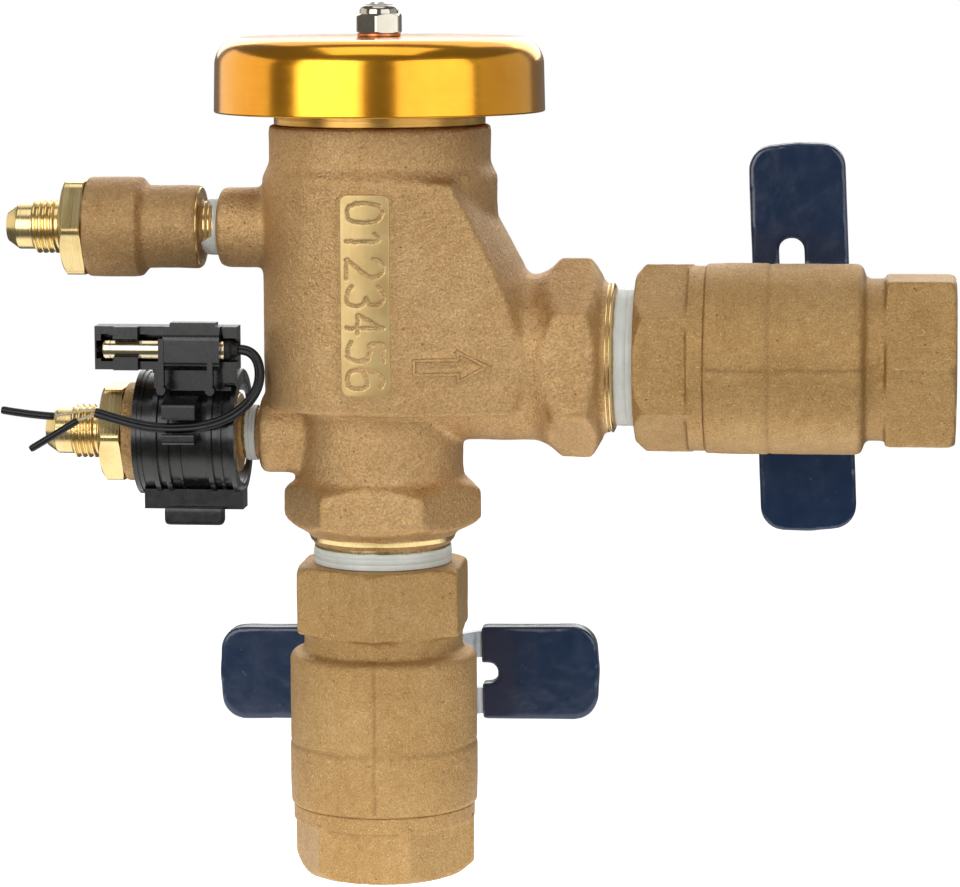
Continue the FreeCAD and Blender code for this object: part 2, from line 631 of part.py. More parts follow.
def cock_ball():
    """Ball at rest across the flow."""
    ball = Part.makeSphere(COCK_BALL_RADIUS)
    ball = ball.cut(aimed(cylinder(COCK_BORE_RADIUS, -9, 9), point(0, 0, 0), X))
    ball = ball.cut(block((-0.85, 3.8, -8), (0.85, 8, 8)))
    ball.translate(point(0, 0, COCK_BALL_Z))
    return ball


def cock_stem():
    """Stem with a tongue into the ball and a screwdriver slot at its outer end."""
    tongue = block((-0.8, 3.9, -2.6), (0.8, 5.9, 2.6))
    flange = across(cylinder(3.2, 5.7, 7.2))
    shank = across(lathe([(0, 6), (COCK_STEM_RADIUS, 6), (COCK_STEM_RADIUS, 15.4, 0.4), (0, 15.4)]))
    shape = joined([tongue, flange, shank]).cut(block((-5, 14.2, -0.45), (5, 16, 0.45)))
    shape.translate(point(0, 0, COCK_BALL_Z))
    return shape


def cock_seats():
    seats = []
    for side in (-1, 1):
        low, high = sorted((side * 3.2, side * 5.2))
        seat = ring(COCK_BORE_RADIUS + 0.2, 6.0, low, high)
        seat = seat.cut(Part.makeSphere(COCK_BALL_RADIUS + RUNNING_GAP))
        seat.translate(point(0, 0, COCK_BALL_Z))
        seats.append(seat)
    return seats


def cock_stem_seal():
    seal = across(ring(COCK_STEM_RADIUS + RUNNING_GAP, 3.3, 9.0, 10.4))
    seal.translate(point(0, 0, COCK_BALL_Z))
    return seal


def cock_tape():
    return lathe([(COCK_NIPPLE_RADIUS, 0.1), (5.75, 0.1, 0.2), (5.65, 1.6, 0.3), (5.75, 3.0, 0.3),
                  (COCK_NIPPLE_RADIUS, 3.0)])


# ---------------------------------------------------------------- clip-on sensor
def clamp_shell(rims):
    """Full drum round the lower cock, along X, with raised rims at the stated places."""
    z = LOWER_COCK[1]
    parts = [ring(CLAMP_INNER, CLAMP_OUTER, 0, CLAMP_X[1] - CLAMP_X[0])]
    for low, high, radius in rims:
        parts.append(ring(CLAMP_INNER, radius, low, high))
    return aimed(joined(parts), point(CLAMP_X[0], 0, z), X)


def sensor_tray():
    """Channel, open to the front, that holds the capsule; closed at its left end."""
    (left, right), (low, high) = TRAY_X, TRAY_Z
    wall = 1.5
    back = CAPSULE_Y + CAPSULE_RADIUS + 0.1
    outside = block((left, CAPSULE_Y - 1.6, low), (right, back + 0.9, high))
    inside = block((left + 1.3, CAPSULE_Y - 5, low + wall + 0.2), (right + 1, back, high - wall - 0.1))
    shape = outside.cut(inside)
    clips = [block((-53.5, CAPSULE_Y - 3.1, 112.0), (-48.4, CAPSULE_Y - 0.8, high)),
             block((-53.5, CAPSULE_Y - 3.1, low), (-48.4, CAPSULE_Y - 0.8, 108.3))]
    stop = block((-31.0, CAPSULE_Y - 1.6, 112.2), (right, back + 0.5, high))
    capsule_way = aimed(cylinder(CAPSULE_RADIUS + 0.02, -1, 40), point(left + 1.3, CAPSULE_Y, CAPSULE_Z), X)
    return joined([shape] + clips + [stop]).cut(capsule_way)


def side_profile(corners, low, high):
    """Prism between x = low and x = high with its outline given as (y, z[, rounding])."""
    shape = plate(corners, low, high)
    turn = FreeCAD.Rotation(Y, Z, X, "ZXY")
    shape.Placement = FreeCAD.Placement(point(0, 0, 0), turn).multiply(shape.Placement)
    return shape


def clamp_front():
    """Front half of the clamp with the tray, its web and lug, the lead hooks and the latch block."""
    length = CLAMP_X[1] - CLAMP_X[0]
    rims = [(0, 1.0, 12.9), (1.0, 1.9, 12.6), (4.2, 5.2, CLAMP_RIM), (6.6, 7.6, CLAMP_RIM - 0.1),
            (9.6, 10.1, 12.7), (15.6, 16.6, CLAMP_RIM - 0.1), (18.0, 18.6, 12.8),
            (length - 1.0, length, CLAMP_RIM)]
    drum = clamp_shell(rims)
    z = LOWER_COCK[1]
    front = joined([block((-60, -30, z), (-20, 1.0, z + 40)), block((-60, -30, z - 40), (-20, -0.6, z))])
    drum = drum.common(front)
    bore = aimed(cylinder(CLAMP_INNER, -10, 40), point(CLAMP_X[0], 0, z), X)

    latch = block((-48.8, -6.2, 76.1), (-28.2, -0.6, 80.2)).cut(bore)
    web = side_profile([(-8.6, 101.0), (1.0, 101.0), (1.0, 105.7), (-8.6, 105.7)], -46.0, -30.0).cut(bore)
    lug = side_profile([(-11.0, 102.6, 0.5), (-8.0, 101.6), (-8.0, 105.7), (-11.0, 105.7)], -31.2, -28.8)
    hooks = [side_profile([(-11.0, 97.6), (-15.9, 97.6), (-16.2, 95.9, 0.2), (-17.3, 95.9, 0.4),
                           (-17.3, 99.0, 0.5), (-12.5, 100.2), (-9.5, 100.2)], -42.9, -36.1),
             side_profile([(-11.0, 90.8), (-17.3, 90.8, 0.8), (-17.3, 93.0, 0.4), (-16.2, 93.0, 0.3),
                           (-15.8, 92.2, 0.2), (-11.0, 92.2)], -42.9, -36.3)]
    hooks = [hook.cut(bore) for hook in hooks]
    y, height = HINGE_YZ
    knuckles = []
    for low, high in ((-46.6, -42.6), (-34.4, -30.4)):
        barrel = aimed(cylinder(1.9, low, high), point(0, y, height), X)
        strap = block((low, -7.2, 104.4), (high, y, 107.2))
        knuckles.append(joined([barrel, strap]).cut(bore))
    shape = joined([drum, latch, web, lug, sensor_tray()] + hooks + knuckles)
    return shape.cut(aimed(cylinder(0.95, -60, -20), point(0, y, height), X))


def clamp_back():
    """Rear half: two hoops joined above and below a window, with the latch tab at the bottom."""
    length = CLAMP_X[1] - CLAMP_X[0]
    drum = clamp_shell([(0, 1.0, 12.9), (length - 1.0, length, CLAMP_RIM)])
    z = LOWER_COCK[1]
    back = joined([block((-60, 1.4, z), (-20, 30, z + 40)), block((-60, -0.2, z - 40), (-20, 30, z))])
    drum = drum.common(back)
    window = block((CLAMP_X[0] + 1.1, 6.0, z - 8.0), (CLAMP_X[1] - 1.1, 20, z + 8.0))
    drum = drum.cut(window)
    bore = aimed(cylinder(CLAMP_INNER, -10, 40), point(CLAMP_X[0], 0, z), X)
    latch = block((-48.8, -0.2, 76.1), (-31.0, 5.0, 80.2)).cut(bore)
    arm = side_profile([(-7.5, 73.1), (5.0, 73.1, 0.5), (5.0, 76.8), (3.2, 76.8), (3.2, 74.4), (-7.5, 74.4)],
                       -42.0, -36.0)
    tab = handle_plan([(-44.3, 73.0, 1.1), (-31.8, 73.0, 1.1), (-31.8, 75.9, 0.3), (-44.3, 75.9, 0.3)])
    tab = tab.common(block((-50, -8.5, 70), (-30, -6.9, 80)))
    y, height = HINGE_YZ
    barrel = aimed(cylinder(1.9, -42.3, -34.7), point(0, y, height), X)
    web = block((-42.3, y - 1.2, 102.0), (-34.7, y + 1.9, height)).cut(bore)
    shape = joined([drum, latch, arm, tab, barrel, web])
    return shape.cut(aimed(cylinder(0.95, -60, -20), point(0, y, height), X))


def clamp_hinge_pin():
    return aimed(cylinder(0.9, -46.6, -30.4), point(0, *HINGE_YZ), X)


def sensor_retainer():
    """Saddle over the capsule and the tray, with a step along its top and two knobbed arms."""
    low, high = -43.0, -31.4
    outer = side_profile([(-11.0, 105.9), (-12.6, 105.6, 0.4), (-14.3, 106.8, 1.2), (-14.3, 112.6, 2.0),
                          (-12.6, 114.6, 0.8), (-11.9, 115.3, 0.4), (-8.6, 115.3, 0.4), (-8.6, 114.52),
                          (-11.0, 114.52)], low, high)
    below_step = block((low, -20, 100), (high, 0, 114.55))
    step = block((low + 1.1, -20, 114.5), (high - 1.1, 0, 118))
    outer = outer.common(joined([below_step, step]))
    arms = []
    for x, top in ((-43.4, 112.2), (-33.3, 107.8)):
        arm = block((x - 0.55, -14.5, 101.2), (x + 0.55, -13.0, top))
        knob = aimed(cylinder(0.95, 12.7, 15.1), point(x, 0, 101.7), -Y)
        arms.append(joined([arm, knob]))
    tray_space = block((low - 1, CAPSULE_Y - 1.62, TRAY_Z[0] - 0.02), (high + 1, 0, TRAY_Z[1] + 0.02))
    capsule_way = aimed(cylinder(CAPSULE_RADIUS + 0.02, -1, 40), point(low - 1, CAPSULE_Y, CAPSULE_Z), X)
    return joined([outer] + arms).cut(tray_space).cut(capsule_way)


def sensor_capsule():
    shape = lathe([(0, 0), (CAPSULE_RADIUS, 0, 0.6), (CAPSULE_RADIUS, 25.3, 0.3), (0, 25.3)])
    return aimed(shape, point(-56.0, CAPSULE_Y, CAPSULE_Z), X)


def lead_boot():
    """Potted plug in the capsule's open end, narrowing to the lead."""
    shape = lathe([(0, 0), (2.2, 0), (2.2, 0.9, 0.3), (1.5, 1.5), (1.3, 2.6), (0, 2.6)])
    return aimed(shape, point(-30.7, CAPSULE_Y, CAPSULE_Z), X)


LEAD_ROUTE = [(-28.08, -10.2, 109.7), (-26.4, -10.2, 109.75), (-24.2, -10.9, 108.2), (-23.3, -12.0, 105.2),
              (-23.7, -13.3, 102.0), (-25.8, -14.3, 98.8), (-29.4, -14.7, 96.2), (-34.0, -14.9, 94.6),
              (-39.0, -14.9, 94.0), (-44.5, -14.9, 94.0), (-50.0, -14.6, 94.9),
              (-57.3, -13.6, 96.9)]


def bent_path(route):
    """Straight runs joined by tangent arcs, each as large as its two runs allow."""
    spots = [point(*spot) for spot in route]
    edges = []
    start = spots[0]
    radii = []
    for i in range(1, len(spots) - 1):
        back = spots[i - 1] - spots[i]
        ahead = spots[i + 1] - spots[i]
        turn = math.pi - back.getAngle(ahead)
        shorter = min(back.Length, ahead.Length)
        radius = 0.45 * shorter / math.tan(turn / 2)
        reach = 0.45 * shorter
        back.normalize()
        ahead.normalize()
        inward = (back + ahead).normalize()
        first = spots[i] + back * reach
        middle = spots[i] + inward * (radius / math.cos(turn / 2) - radius)
        last = spots[i] + ahead * reach
        edges.append(Part.LineSegment(start, first).toShape())
        edges.append(Part.Arc(first, middle, last).toShape())
        radii.append(radius)
        start = last
    edges.append(Part.LineSegment(start, spots[-1]).toShape())
    return Part.Wire(edges), radii


def tube(route, radius, name):
    wire, radii = bent_path(route)
    first = point(*route[0])
    section = Part.Wire(Part.makeCircle(radius, first, point(*route[1]) - first))
    shape = wire.makePipeShell([section], True, False)
    expected = math.pi * radius ** 2 * wire.Length
    print(name, "length", round(wire.Length, 2), "radii", [round(r, 1) for r in radii],
          "volume ratio", round(shape.Volume / expected, 4))
    return shape


def bare_wires():
    """The two stripped conductors, which splay apart at the lead's end."""
    end = LEAD_ROUTE[-1]
    upper = [(end[0] - 0.35, end[1], end[2] + 0.6), (-61.0, -13.4, 97.2), (-65.95, -13.2, 96.0)]
    lower = [(end[0] - 0.35, end[1], end[2] - 0.5), (-59.4, -13.7, 96.1), (-60.85, -13.9, 95.32)]
    return [tube(upper, 0.32, "upper wire"), tube(lower, 0.32, "lower wire")]


def insulation_tips():
    """Slugs of insulation left on the ends of the two conductors."""
    upper = [(-66.0, -13.2, 96.0), (-71.5, -13.0, 96.3), (-77.0, -12.8, 97.2)]
    lower = [(-60.9, -13.9, 95.3), (-65.8, -13.8, 92.3), (-71.0, -13.4, 89.2)]
    return [tube(upper, 0.85, "upper tip"), tube(lower, 0.75, "lower tip")]


# ---------------------------------------------------------------- assembly
def everything():
    """Every node's name and shape, in place."""
    nodes = {}
    for name, shape in ball_valve(INLET_HEX_TURN, INLET_HANDLE_TURN, INLET_SLOT, INLET_COAT_START).items():
        nodes["inlet_" + name] = shape
    for name, shape in ball_valve(0, OUTLET_HANDLE_TURN, OUTLET_SLOT, OUTLET_COAT_START).items():
        nodes["outlet_" + name] = aimed(shape, point(OUTLET_VALVE_X, 0, OUTLET_Z), X)

    for make in (body_casting, valve_thread_tape, check_seat, check_seat_o_ring, check_poppet, check_disc,
                 check_disc_screw, check_spring, check_guide, vent_poppet, vent_disc, vent_disc_retainer,
                 vent_spring, bonnet, bonnet_o_ring, canopy, canopy_washer, canopy_nut, canopy_stud,
                 clamp_front, clamp_back, clamp_hinge_pin, sensor_retainer, sensor_capsule, lead_boot):
        nodes[make.__name__] = make()

    seats, seals, tapes = [], [], []
    cocks = {"upper_cock": UPPER_COCK, "lower_cock": (LOWER_COCK[0] - LOWER_COCK_STANDOFF, LOWER_COCK[1])}
    for name, (x, z) in cocks.items():
        place = point(x, 0, z)
        nodes[name + "_body"] = aimed(cock_body(), place, -X)
        nodes[name + "_flare_end"] = aimed(cock_flare_end(), place, -X)
        nodes[name + "_ball"] = aimed(cock_ball(), place, -X)
        nodes[name + "_stem"] = aimed(cock_stem(), place, -X)
        seats += [aimed(seat, place, -X) for seat in cock_seats()]
        seals.append(aimed(cock_stem_seal(), place, -X))
        tapes.append(aimed(cock_tape(), place, -X))
    nodes["cock_ball_seats"] = group(seats)
    nodes["cock_stem_seals"] = group(seals)
    nodes["cock_thread_tape"] = group(tapes)

    nodes["sensor_lead"] = tube(LEAD_ROUTE, LEAD_RADIUS, "sensor lead")
    nodes["lead_bare_wires"] = group(bare_wires())
    nodes["lead_insulation_tips"] = group(insulation_tips())
    return nodes


os.makedirs("parts", exist_ok=True)
made = everything()
for node_name, node_shape in made.items():
    if not node_shape.isValid():
        print("not valid:", node_name)
    node_shape.exportStep("parts/" + node_name + ".step")
print(len(made), "nodes")
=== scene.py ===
import json
import math

import bmesh
import bpy
import numpy as np
from mathutils import Matrix, Vector
from mathutils.bvhtree import BVHTree


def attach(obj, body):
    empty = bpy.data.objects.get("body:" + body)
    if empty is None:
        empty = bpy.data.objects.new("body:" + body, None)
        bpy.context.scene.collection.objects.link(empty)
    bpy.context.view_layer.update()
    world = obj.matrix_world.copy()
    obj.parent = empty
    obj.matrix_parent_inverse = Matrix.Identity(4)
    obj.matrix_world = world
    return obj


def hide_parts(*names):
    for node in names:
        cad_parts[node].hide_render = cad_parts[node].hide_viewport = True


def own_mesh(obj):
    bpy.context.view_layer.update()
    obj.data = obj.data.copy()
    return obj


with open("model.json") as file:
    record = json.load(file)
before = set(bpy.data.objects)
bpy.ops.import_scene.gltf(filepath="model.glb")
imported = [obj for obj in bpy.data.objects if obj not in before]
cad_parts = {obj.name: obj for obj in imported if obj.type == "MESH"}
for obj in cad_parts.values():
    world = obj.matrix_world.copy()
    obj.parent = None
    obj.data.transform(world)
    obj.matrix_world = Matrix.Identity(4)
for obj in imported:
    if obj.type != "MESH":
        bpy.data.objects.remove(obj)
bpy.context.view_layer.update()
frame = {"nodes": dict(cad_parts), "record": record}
nodes = frame["nodes"]
scene = bpy.context.scene
rng = np.random.default_rng(7)

# ---------------------------------------------------------------- camera
AZIMUTH = math.radians(6.123)
ELEVATION = math.radians(7.554)
ROLL = math.radians(-0.221)
DISTANCE = 0.764738
TARGET = Vector((0.020356, 0.0, 0.089526))


def make_camera():
    """Camera at the picture's viewpoint, turned a hair about its own axis."""
    back = Vector((math.sin(AZIMUTH) * math.cos(ELEVATION),
                   -math.cos(AZIMUTH) * math.cos(ELEVATION), math.sin(ELEVATION)))
    right = Vector((0, 0, 1)).cross(back).normalized()
    up = back.cross(right)
    rolled_right = right * math.cos(ROLL) + up * math.sin(ROLL)
    rolled_up = up * math.cos(ROLL) - right * math.sin(ROLL)
    data = bpy.data.cameras.new("camera")
    data.lens = 139.04
    data.sensor_width = 36.0
    data.clip_start = 0.05
    data.clip_end = 20.0
    camera = bpy.data.objects.new("camera", data)
    scene.collection.objects.link(camera)
    turn = Matrix((rolled_right, rolled_up, back)).transposed().to_4x4()
    camera.matrix_world = Matrix.Translation(TARGET + back * DISTANCE) @ turn
    scene.camera = camera


make_camera()

# ---------------------------------------------------------------- places
MM = 0.001
SCALE = Matrix.Scale(MM, 4)
OUTLET_Z = 107.56
UPPER_COCK = (-33.2, 134.05)
LOWER_COCK = (-25.7, 91.4)


def spot(x, y, z):
    return Matrix.Translation((x, y, z))


TO_RIGHT = Matrix.Rotation(math.radians(90), 4, "Y")
TO_LEFT = Matrix.Rotation(math.radians(-90), 4, "Y")
UPRIGHT = Matrix.Identity(4)
OUTLET = spot(0, 0, OUTLET_Z) @ TO_RIGHT
OUTLET_VALVE = spot(52.65, 0, OUTLET_Z) @ TO_RIGHT


# ---------------------------------------------------------------- node helpers
class Shader:
    """A material's node tree, with one method for each kind of node used here."""

    def __init__(self, name):
        self.material = bpy.data.materials.new(name)
        self.material.use_nodes = True
        self.tree = self.material.node_tree
        self.tree.nodes.clear()
        self.surface = self.add("ShaderNodeBsdfPrincipled")
        output = self.add("ShaderNodeOutputMaterial")
        self.join(self.surface.outputs[0], output.inputs["Surface"])
        coords = self.add("ShaderNodeTexCoord")
        self.place = coords.outputs["Object"]

    def add(self, kind, **values):
        node = self.tree.nodes.new(kind)
        for key, value in values.items():
            setattr(node, key, value)
        return node

    def join(self, source, target):
        self.tree.links.new(source, target)

    def feed(self, socket, value):
        """Links an output, or sets a plain value."""
        if isinstance(value, bpy.types.NodeSocket):
            self.join(value, socket)
        else:
            socket.default_value = value

    def set(self, **values):
        for key, value in values.items():
            self.feed(self.surface.inputs[key.replace("_", " ")], value)

    def stretched(self, scale):
        node = self.add("ShaderNodeMapping")
        self.join(self.place, node.inputs["Vector"])
        node.inputs["Scale"].default_value = scale
        return node.outputs[0]

    def noise(self, scale, detail=2.0, roughness=0.5, vector=None):
        node = self.add("ShaderNodeTexNoise")
        self.join(vector or self.place, node.inputs["Vector"])
        node.inputs["Scale"].default_value = scale
        node.inputs["Detail"].default_value = detail
        node.inputs["Roughness"].default_value = roughness
        return node.outputs["Fac"]

    def cells(self, scale):
        node = self.add("ShaderNodeTexVoronoi")
        self.join(self.place, node.inputs["Vector"])
        node.inputs["Scale"].default_value = scale
        return node.outputs["Distance"]

    def ramp(self, value, stops):
        node = self.add("ShaderNodeValToRGB")
        self.join(value, node.inputs["Fac"])
        elements = node.color_ramp.elements
        while len(elements) < len(stops):
            elements.new(0.5)
        for element, (position, colour) in zip(elements, stops):
            element.position = position
            if not isinstance(colour, tuple):
                colour = (colour, colour, colour)
            element.color = (*colour, 1.0)
        return node.outputs["Color"]

    def math(self, operation, a, b=0.0):
        node = self.add("ShaderNodeMath", operation=operation)
        self.feed(node.inputs[0], a)
        self.feed(node.inputs[1], b)
        return node.outputs[0]

    def mix(self, factor, a, b, blend="MIX"):
        node = self.add("ShaderNodeMix", data_type="RGBA", blend_type=blend)
        self.feed(node.inputs["Factor"], factor)
        for index, value in ((6, a), (7, b)):
            if isinstance(value, tuple):
                value = (*value, 1.0)
            self.feed(node.inputs[index], value)
        return node.outputs[2]

    def bump(self, height, strength, distance, under=None):
        node = self.add("ShaderNodeBump")
        self.join(height, node.inputs["Height"])
        node.inputs["Strength"].default_value = strength
        node.inputs["Distance"].default_value = distance
        if under is not None:
            self.join(under, node.inputs["Normal"])
        return node.outputs[0]


def srgb(red, green, blue):
    """Linear colour from the usual 0 to 255 display values."""
    def linear(value):
        value /= 255.0
        return value / 12.92 if value <= 0.04045 else ((value + 0.055) / 1.055) ** 2.4
    return (linear(red), linear(green), linear(blue))


# ---------------------------------------------------------------- materials
def cast_bronze(name, mid, dark, light, grain, pits):
    """Sand-cast or shot-blasted bronze: fine grain with bright specks of painted glint, small pits darkened
    with painted shade, painted shade along the die lines of the valves, and a slow drift of colour.
    """
    s = Shader(name)
    drift = s.ramp(s.noise(60, 3.0, 0.6), [(0.3, dark), (0.5, mid), (0.72, light)])
    mottle = s.ramp(s.noise(430, 3.0, 0.65), [(0.3, dark), (0.52, mid), (0.76, light)])
    speck = s.noise(grain, 2.0, 0.6)
    fine = s.noise(grain * 2.1, 2.0, 0.7)
    colour = s.mix(0.5, drift, mottle)
    colour = s.mix(1.0, colour, s.ramp(speck, [(0.34, 0.80), (0.52, 1.0), (0.68, 1.16)]), "MULTIPLY")
    # painted glints: small bright specks of a lighter colour mixed into the base colour
    glint = s.ramp(s.cells(grain * 0.8), [(0.10, 1.0), (0.22, 0.0)])
    glint = s.math("MULTIPLY", glint, s.ramp(s.noise(grain * 0.5), [(0.52, 0.0), (0.60, 1.0)]))
    colour = s.mix(glint, colour, srgb(250, 226, 180))
    # pit mask: bump height of the pits, and the painted shade that darkens them
    pit_depth_and_shade = s.ramp(s.cells(430), [(0.04, 0.3), (0.13, 1.0)])
    pit_depth_and_shade = s.mix(s.ramp(s.noise(170, 2.0), [(0.56, 1.0), (0.62, 0.0)]), (1.0, 1.0, 1.0), pit_depth_and_shade)
    # painted shade: the colour is darkened in the pits
    if pits:
        colour = s.mix(0.7, colour, pit_depth_and_shade, "MULTIPLY")
    # painted shade: the colour darkens along the die lines that a valve mesh marks
    seam_shade = s.add("ShaderNodeAttribute", attribute_name="seam_shade")
    colour = s.mix(s.math("MULTIPLY", seam_shade.outputs["Fac"], 0.75), colour, srgb(116, 82, 46))
    s.set(Base_Color=colour, Metallic=0.78)
    s.set(Roughness=s.ramp(speck, [(0.3, 0.54), (0.7, 0.40)]))
    coarse = s.noise(grain * 0.42, 2.0, 0.6)
    height = s.math("ADD", s.math("MULTIPLY", speck, 0.6), s.math("MULTIPLY", fine, 0.4))
    height = s.math("ADD", height, coarse)
    normal = s.bump(height, 0.75, 0.00034)
    if pits:
        normal = s.bump(pit_depth_and_shade, 0.5, 0.0002, normal)
    s.set(Normal=normal)
    return s.material


def faced_bronze(name):
    """Ground face of the pad: bright and smooth, with scratches along it and painted shade darkening its
    dents.
    """
    s = Shader(name)
    cloud = s.noise(140, 3.0, 0.6)
    lines = s.noise(1.0, 2.0, 0.6, vector=s.stretched((4200, 4200, 90)))
    colour = s.mix(s.ramp(cloud, [(0.35, 0.0), (0.7, 1.0)]), srgb(218, 190, 132), srgb(200, 168, 110))
    # painted shade: the colour is darkened in the dents
    dent_shade = s.add("ShaderNodeAttribute", attribute_name="dent_shade")
    colour = s.mix(dent_shade.outputs["Fac"], colour, srgb(112, 82, 44))
    s.set(Base_Color=colour, Metallic=0.75)
    s.set(Roughness=s.ramp(lines, [(0.3, 0.36), (0.7, 0.5)]))
    s.set(Normal=s.bump(lines, 0.2, 0.0001))
    return s.material


def turned_brass(name, colour, dark, roughness, axis_scale):
    """Bright turned metal with fine tool lines round its axis."""
    s = Shader(name)
    lines = s.noise(1.0, 2.0, 0.6, vector=s.stretched(axis_scale))
    stain = s.noise(160, 3.0, 0.6)
    s.set(Base_Color=s.mix(s.ramp(stain, [(0.45, 0.0), (0.75, 0.6)]), colour, dark), Metallic=1.0)
    s.set(Roughness=s.ramp(lines, [(0.3, roughness * 0.8), (0.7, roughness * 1.35)]))
    s.set(Normal=s.bump(lines, 0.18, 0.0001))
    return s.material


def plain_metal(name, colour, roughness, scratch=900.0, wear=0.25):
    s = Shader(name)
    fine = s.noise(scratch, 3.0, 0.6)
    cloud = s.noise(90, 2.0)
    dim = tuple(c * 0.75 for c in colour)
    s.set(Base_Color=s.mix(s.ramp(cloud, [(0.4, 0.0), (0.7, 0.7)]), colour, dim), Metallic=1.0)
    s.set(Roughness=s.ramp(fine, [(0.3, roughness), (0.75, roughness + wear)]))
    s.set(Normal=s.bump(fine, 0.12, 0.00008))
    return s.material


def plastic(name, colour, roughness, grain=700.0, bump=0.1, shine=0.5):
    s = Shader(name)
    fine = s.noise(grain, 3.0, 0.6)
    cloud = s.noise(120, 2.0)
    dim = tuple(c * 0.7 for c in colour)
    s.set(Base_Color=s.mix(s.ramp(cloud, [(0.35, 0.0), (0.7, 1.0)]), colour, dim))
    s.set(Roughness=s.ramp(fine, [(0.3, roughness), (0.75, roughness + 0.16)]))
    s.set(Normal=s.bump(fine, bump, 0.0001))
    s.set(Specular_IOR_Level=shine)
    return s.material


def vinyl(name):
    """Thick dipped coat: high gloss, slightly wavy, with tiny trapped bubbles."""
    s = Shader(name)
    wave = s.noise(190, 2.0, 0.5)
    bubble = s.cells(820)
    gate = s.ramp(s.noise(330, 2.0), [(0.62, 0.0), (0.68, 1.0)])
    dots = s.math("MULTIPLY", s.ramp(bubble, [(0.10, 1.0), (0.22, 0.0)]), gate)
    s.set(Base_Color=s.mix(dots, srgb(12, 38, 70), srgb(34, 60, 96)))
    s.set(Roughness=s.ramp(s.noise(260, 3.0), [(0.3, 0.16), (0.7, 0.30)]))
    normal = s.bump(wave, 0.35, 0.0006)
    s.set(Normal=s.bump(dots, 0.35, 0.00012, normal))
    s.set(Coat_Weight=0.5, Coat_Roughness=0.08)
    return s.material


def anodised(name):
    """Gold anodised sheet: metallic, satin, with faint drawing lines round it."""
    s = Shader(name)
    lines = s.noise(1.0, 3.0, 0.6, vector=s.stretched((30, 30, 5200)))
    cloud = s.noise(60, 3.0, 0.6)
    gold = s.mix(s.ramp(cloud, [(0.35, 0.0), (0.7, 1.0)]), srgb(250, 178, 38), srgb(238, 160, 28))
    s.set(Base_Color=gold, Metallic=1.0)
    s.set(Roughness=s.ramp(lines, [(0.3, 0.15), (0.7, 0.22)]))
    s.set(Normal=s.bump(lines, 0.06, 0.00005))
    s.set(Coat_Weight=0.5, Coat_Roughness=0.16)
    return s.material


def tape(name):
    """Layers of white sealing tape: waxy, streaked along its turns."""
    s = Shader(name)
    streak = s.noise(1.0, 3.0, 0.6, vector=s.stretched((900, 900, 2600)))
    cloud = s.noise(300, 3.0)
    s.set(Base_Color=s.mix(cloud, srgb(232, 235, 231), srgb(198, 206, 200)))
    s.set(Roughness=s.ramp(streak, [(0.3, 0.32), (0.7, 0.5)]))
    s.set(Subsurface_Weight=0.35, Subsurface_Radius=(0.002, 0.002, 0.002), Subsurface_Scale=0.4)
    s.set(Normal=s.bump(streak, 0.35, 0.0002))
    return s.material


BODY_BRONZE = cast_bronze("body_bronze", srgb(205, 166, 114), srgb(192, 152, 101), srgb(216, 181, 131),
                          2300, True)
VALVE_BRONZE = cast_bronze("valve_bronze", srgb(187, 150, 97), srgb(174, 136, 84), srgb(199, 165, 113),
                           2700, True)
COCK_BRONZE = cast_bronze("cock_bronze", srgb(183, 147, 99), srgb(166, 129, 84), srgb(197, 164, 117),
                          2500, True)
ARROW_BRONZE = cast_bronze("arrow_bronze", srgb(206, 170, 120), srgb(180, 142, 94), srgb(224, 192, 144),
                           2300, False)
PAD_BRONZE = faced_bronze("pad_bronze")
BRASS = turned_brass("brass", srgb(232, 208, 150), srgb(204, 172, 108), 0.22, (2400, 30, 30))
STEEL = plain_metal("steel", srgb(206, 206, 204), 0.2)
ZINC = plain_metal("zinc", srgb(206, 212, 216), 0.3)
CHROME = plain_metal("chrome", srgb(200, 194, 180), 0.08, 1200, 0.08)
COPPER = plain_metal("copper", srgb(214, 140, 96), 0.25)
TINNED = plain_metal("tinned", srgb(196, 186, 160), 0.3)
CAPSULE = turned_brass("capsule", srgb(226, 212, 178), srgb(170, 156, 124), 0.12, (1800, 30, 30))
BONNET_BRASS = turned_brass("bonnet_brass", srgb(206, 160, 84), srgb(140, 112, 66), 0.3, (30, 30, 2400))
GOLD = anodised("gold")
VINYL = vinyl("vinyl")
TAPE = tape("tape")
WHITE = plastic("white_acetal", srgb(232, 231, 224), 0.35)
NYLON = plastic("black_nylon", srgb(22, 22, 21), 0.18, 500, 0.05, 0.6)
RUBBER = plastic("black_rubber", srgb(24, 24, 24), 0.55, 600, 0.2)
PVC = plastic("black_pvc", srgb(22, 22, 23), 0.24, 500, 0.12, 0.3)

SLOT_MATERIALS = {
    "cast_bronze": BODY_BRONZE, "valve_bronze": VALVE_BRONZE, "machined_brass": BRASS,
    "ball_chrome": CHROME, "white_ptfe": WHITE, "gold_sheet": GOLD, "stainless": STEEL,
    "zinc_steel": ZINC, "blue_vinyl": VINYL, "copper": COPPER, "black_rubber": RUBBER,
    "white_acetal": WHITE, "black_nylon": NYLON, "black_pvc": PVC, "silver_can": CAPSULE,
    "tinned_copper": TINNED,
}
SLOT_OF = {entry["node"]: entry["material_slot"] for entry in frame["record"]["subparts"]}
for node_name, node_object in nodes.items():
    node_object.data.materials.clear()
    node_object.data.materials.append(SLOT_MATERIALS[SLOT_OF[node_name]])


# ---------------------------------------------------------------- mesh helpers
def place_piece(name, mesh, material, body, stands_for=()):
    piece = bpy.data.objects.new(name, mesh)
    scene.collection.objects.link(piece)
    mesh.materials.append(material)
    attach(piece, body)
    if stands_for:
        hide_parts(*stands_for)
    return piece


def soften(mesh, degrees=35):
    mesh.shade_smooth()
    mesh.set_sharp_from_angle(angle=math.radians(degrees))


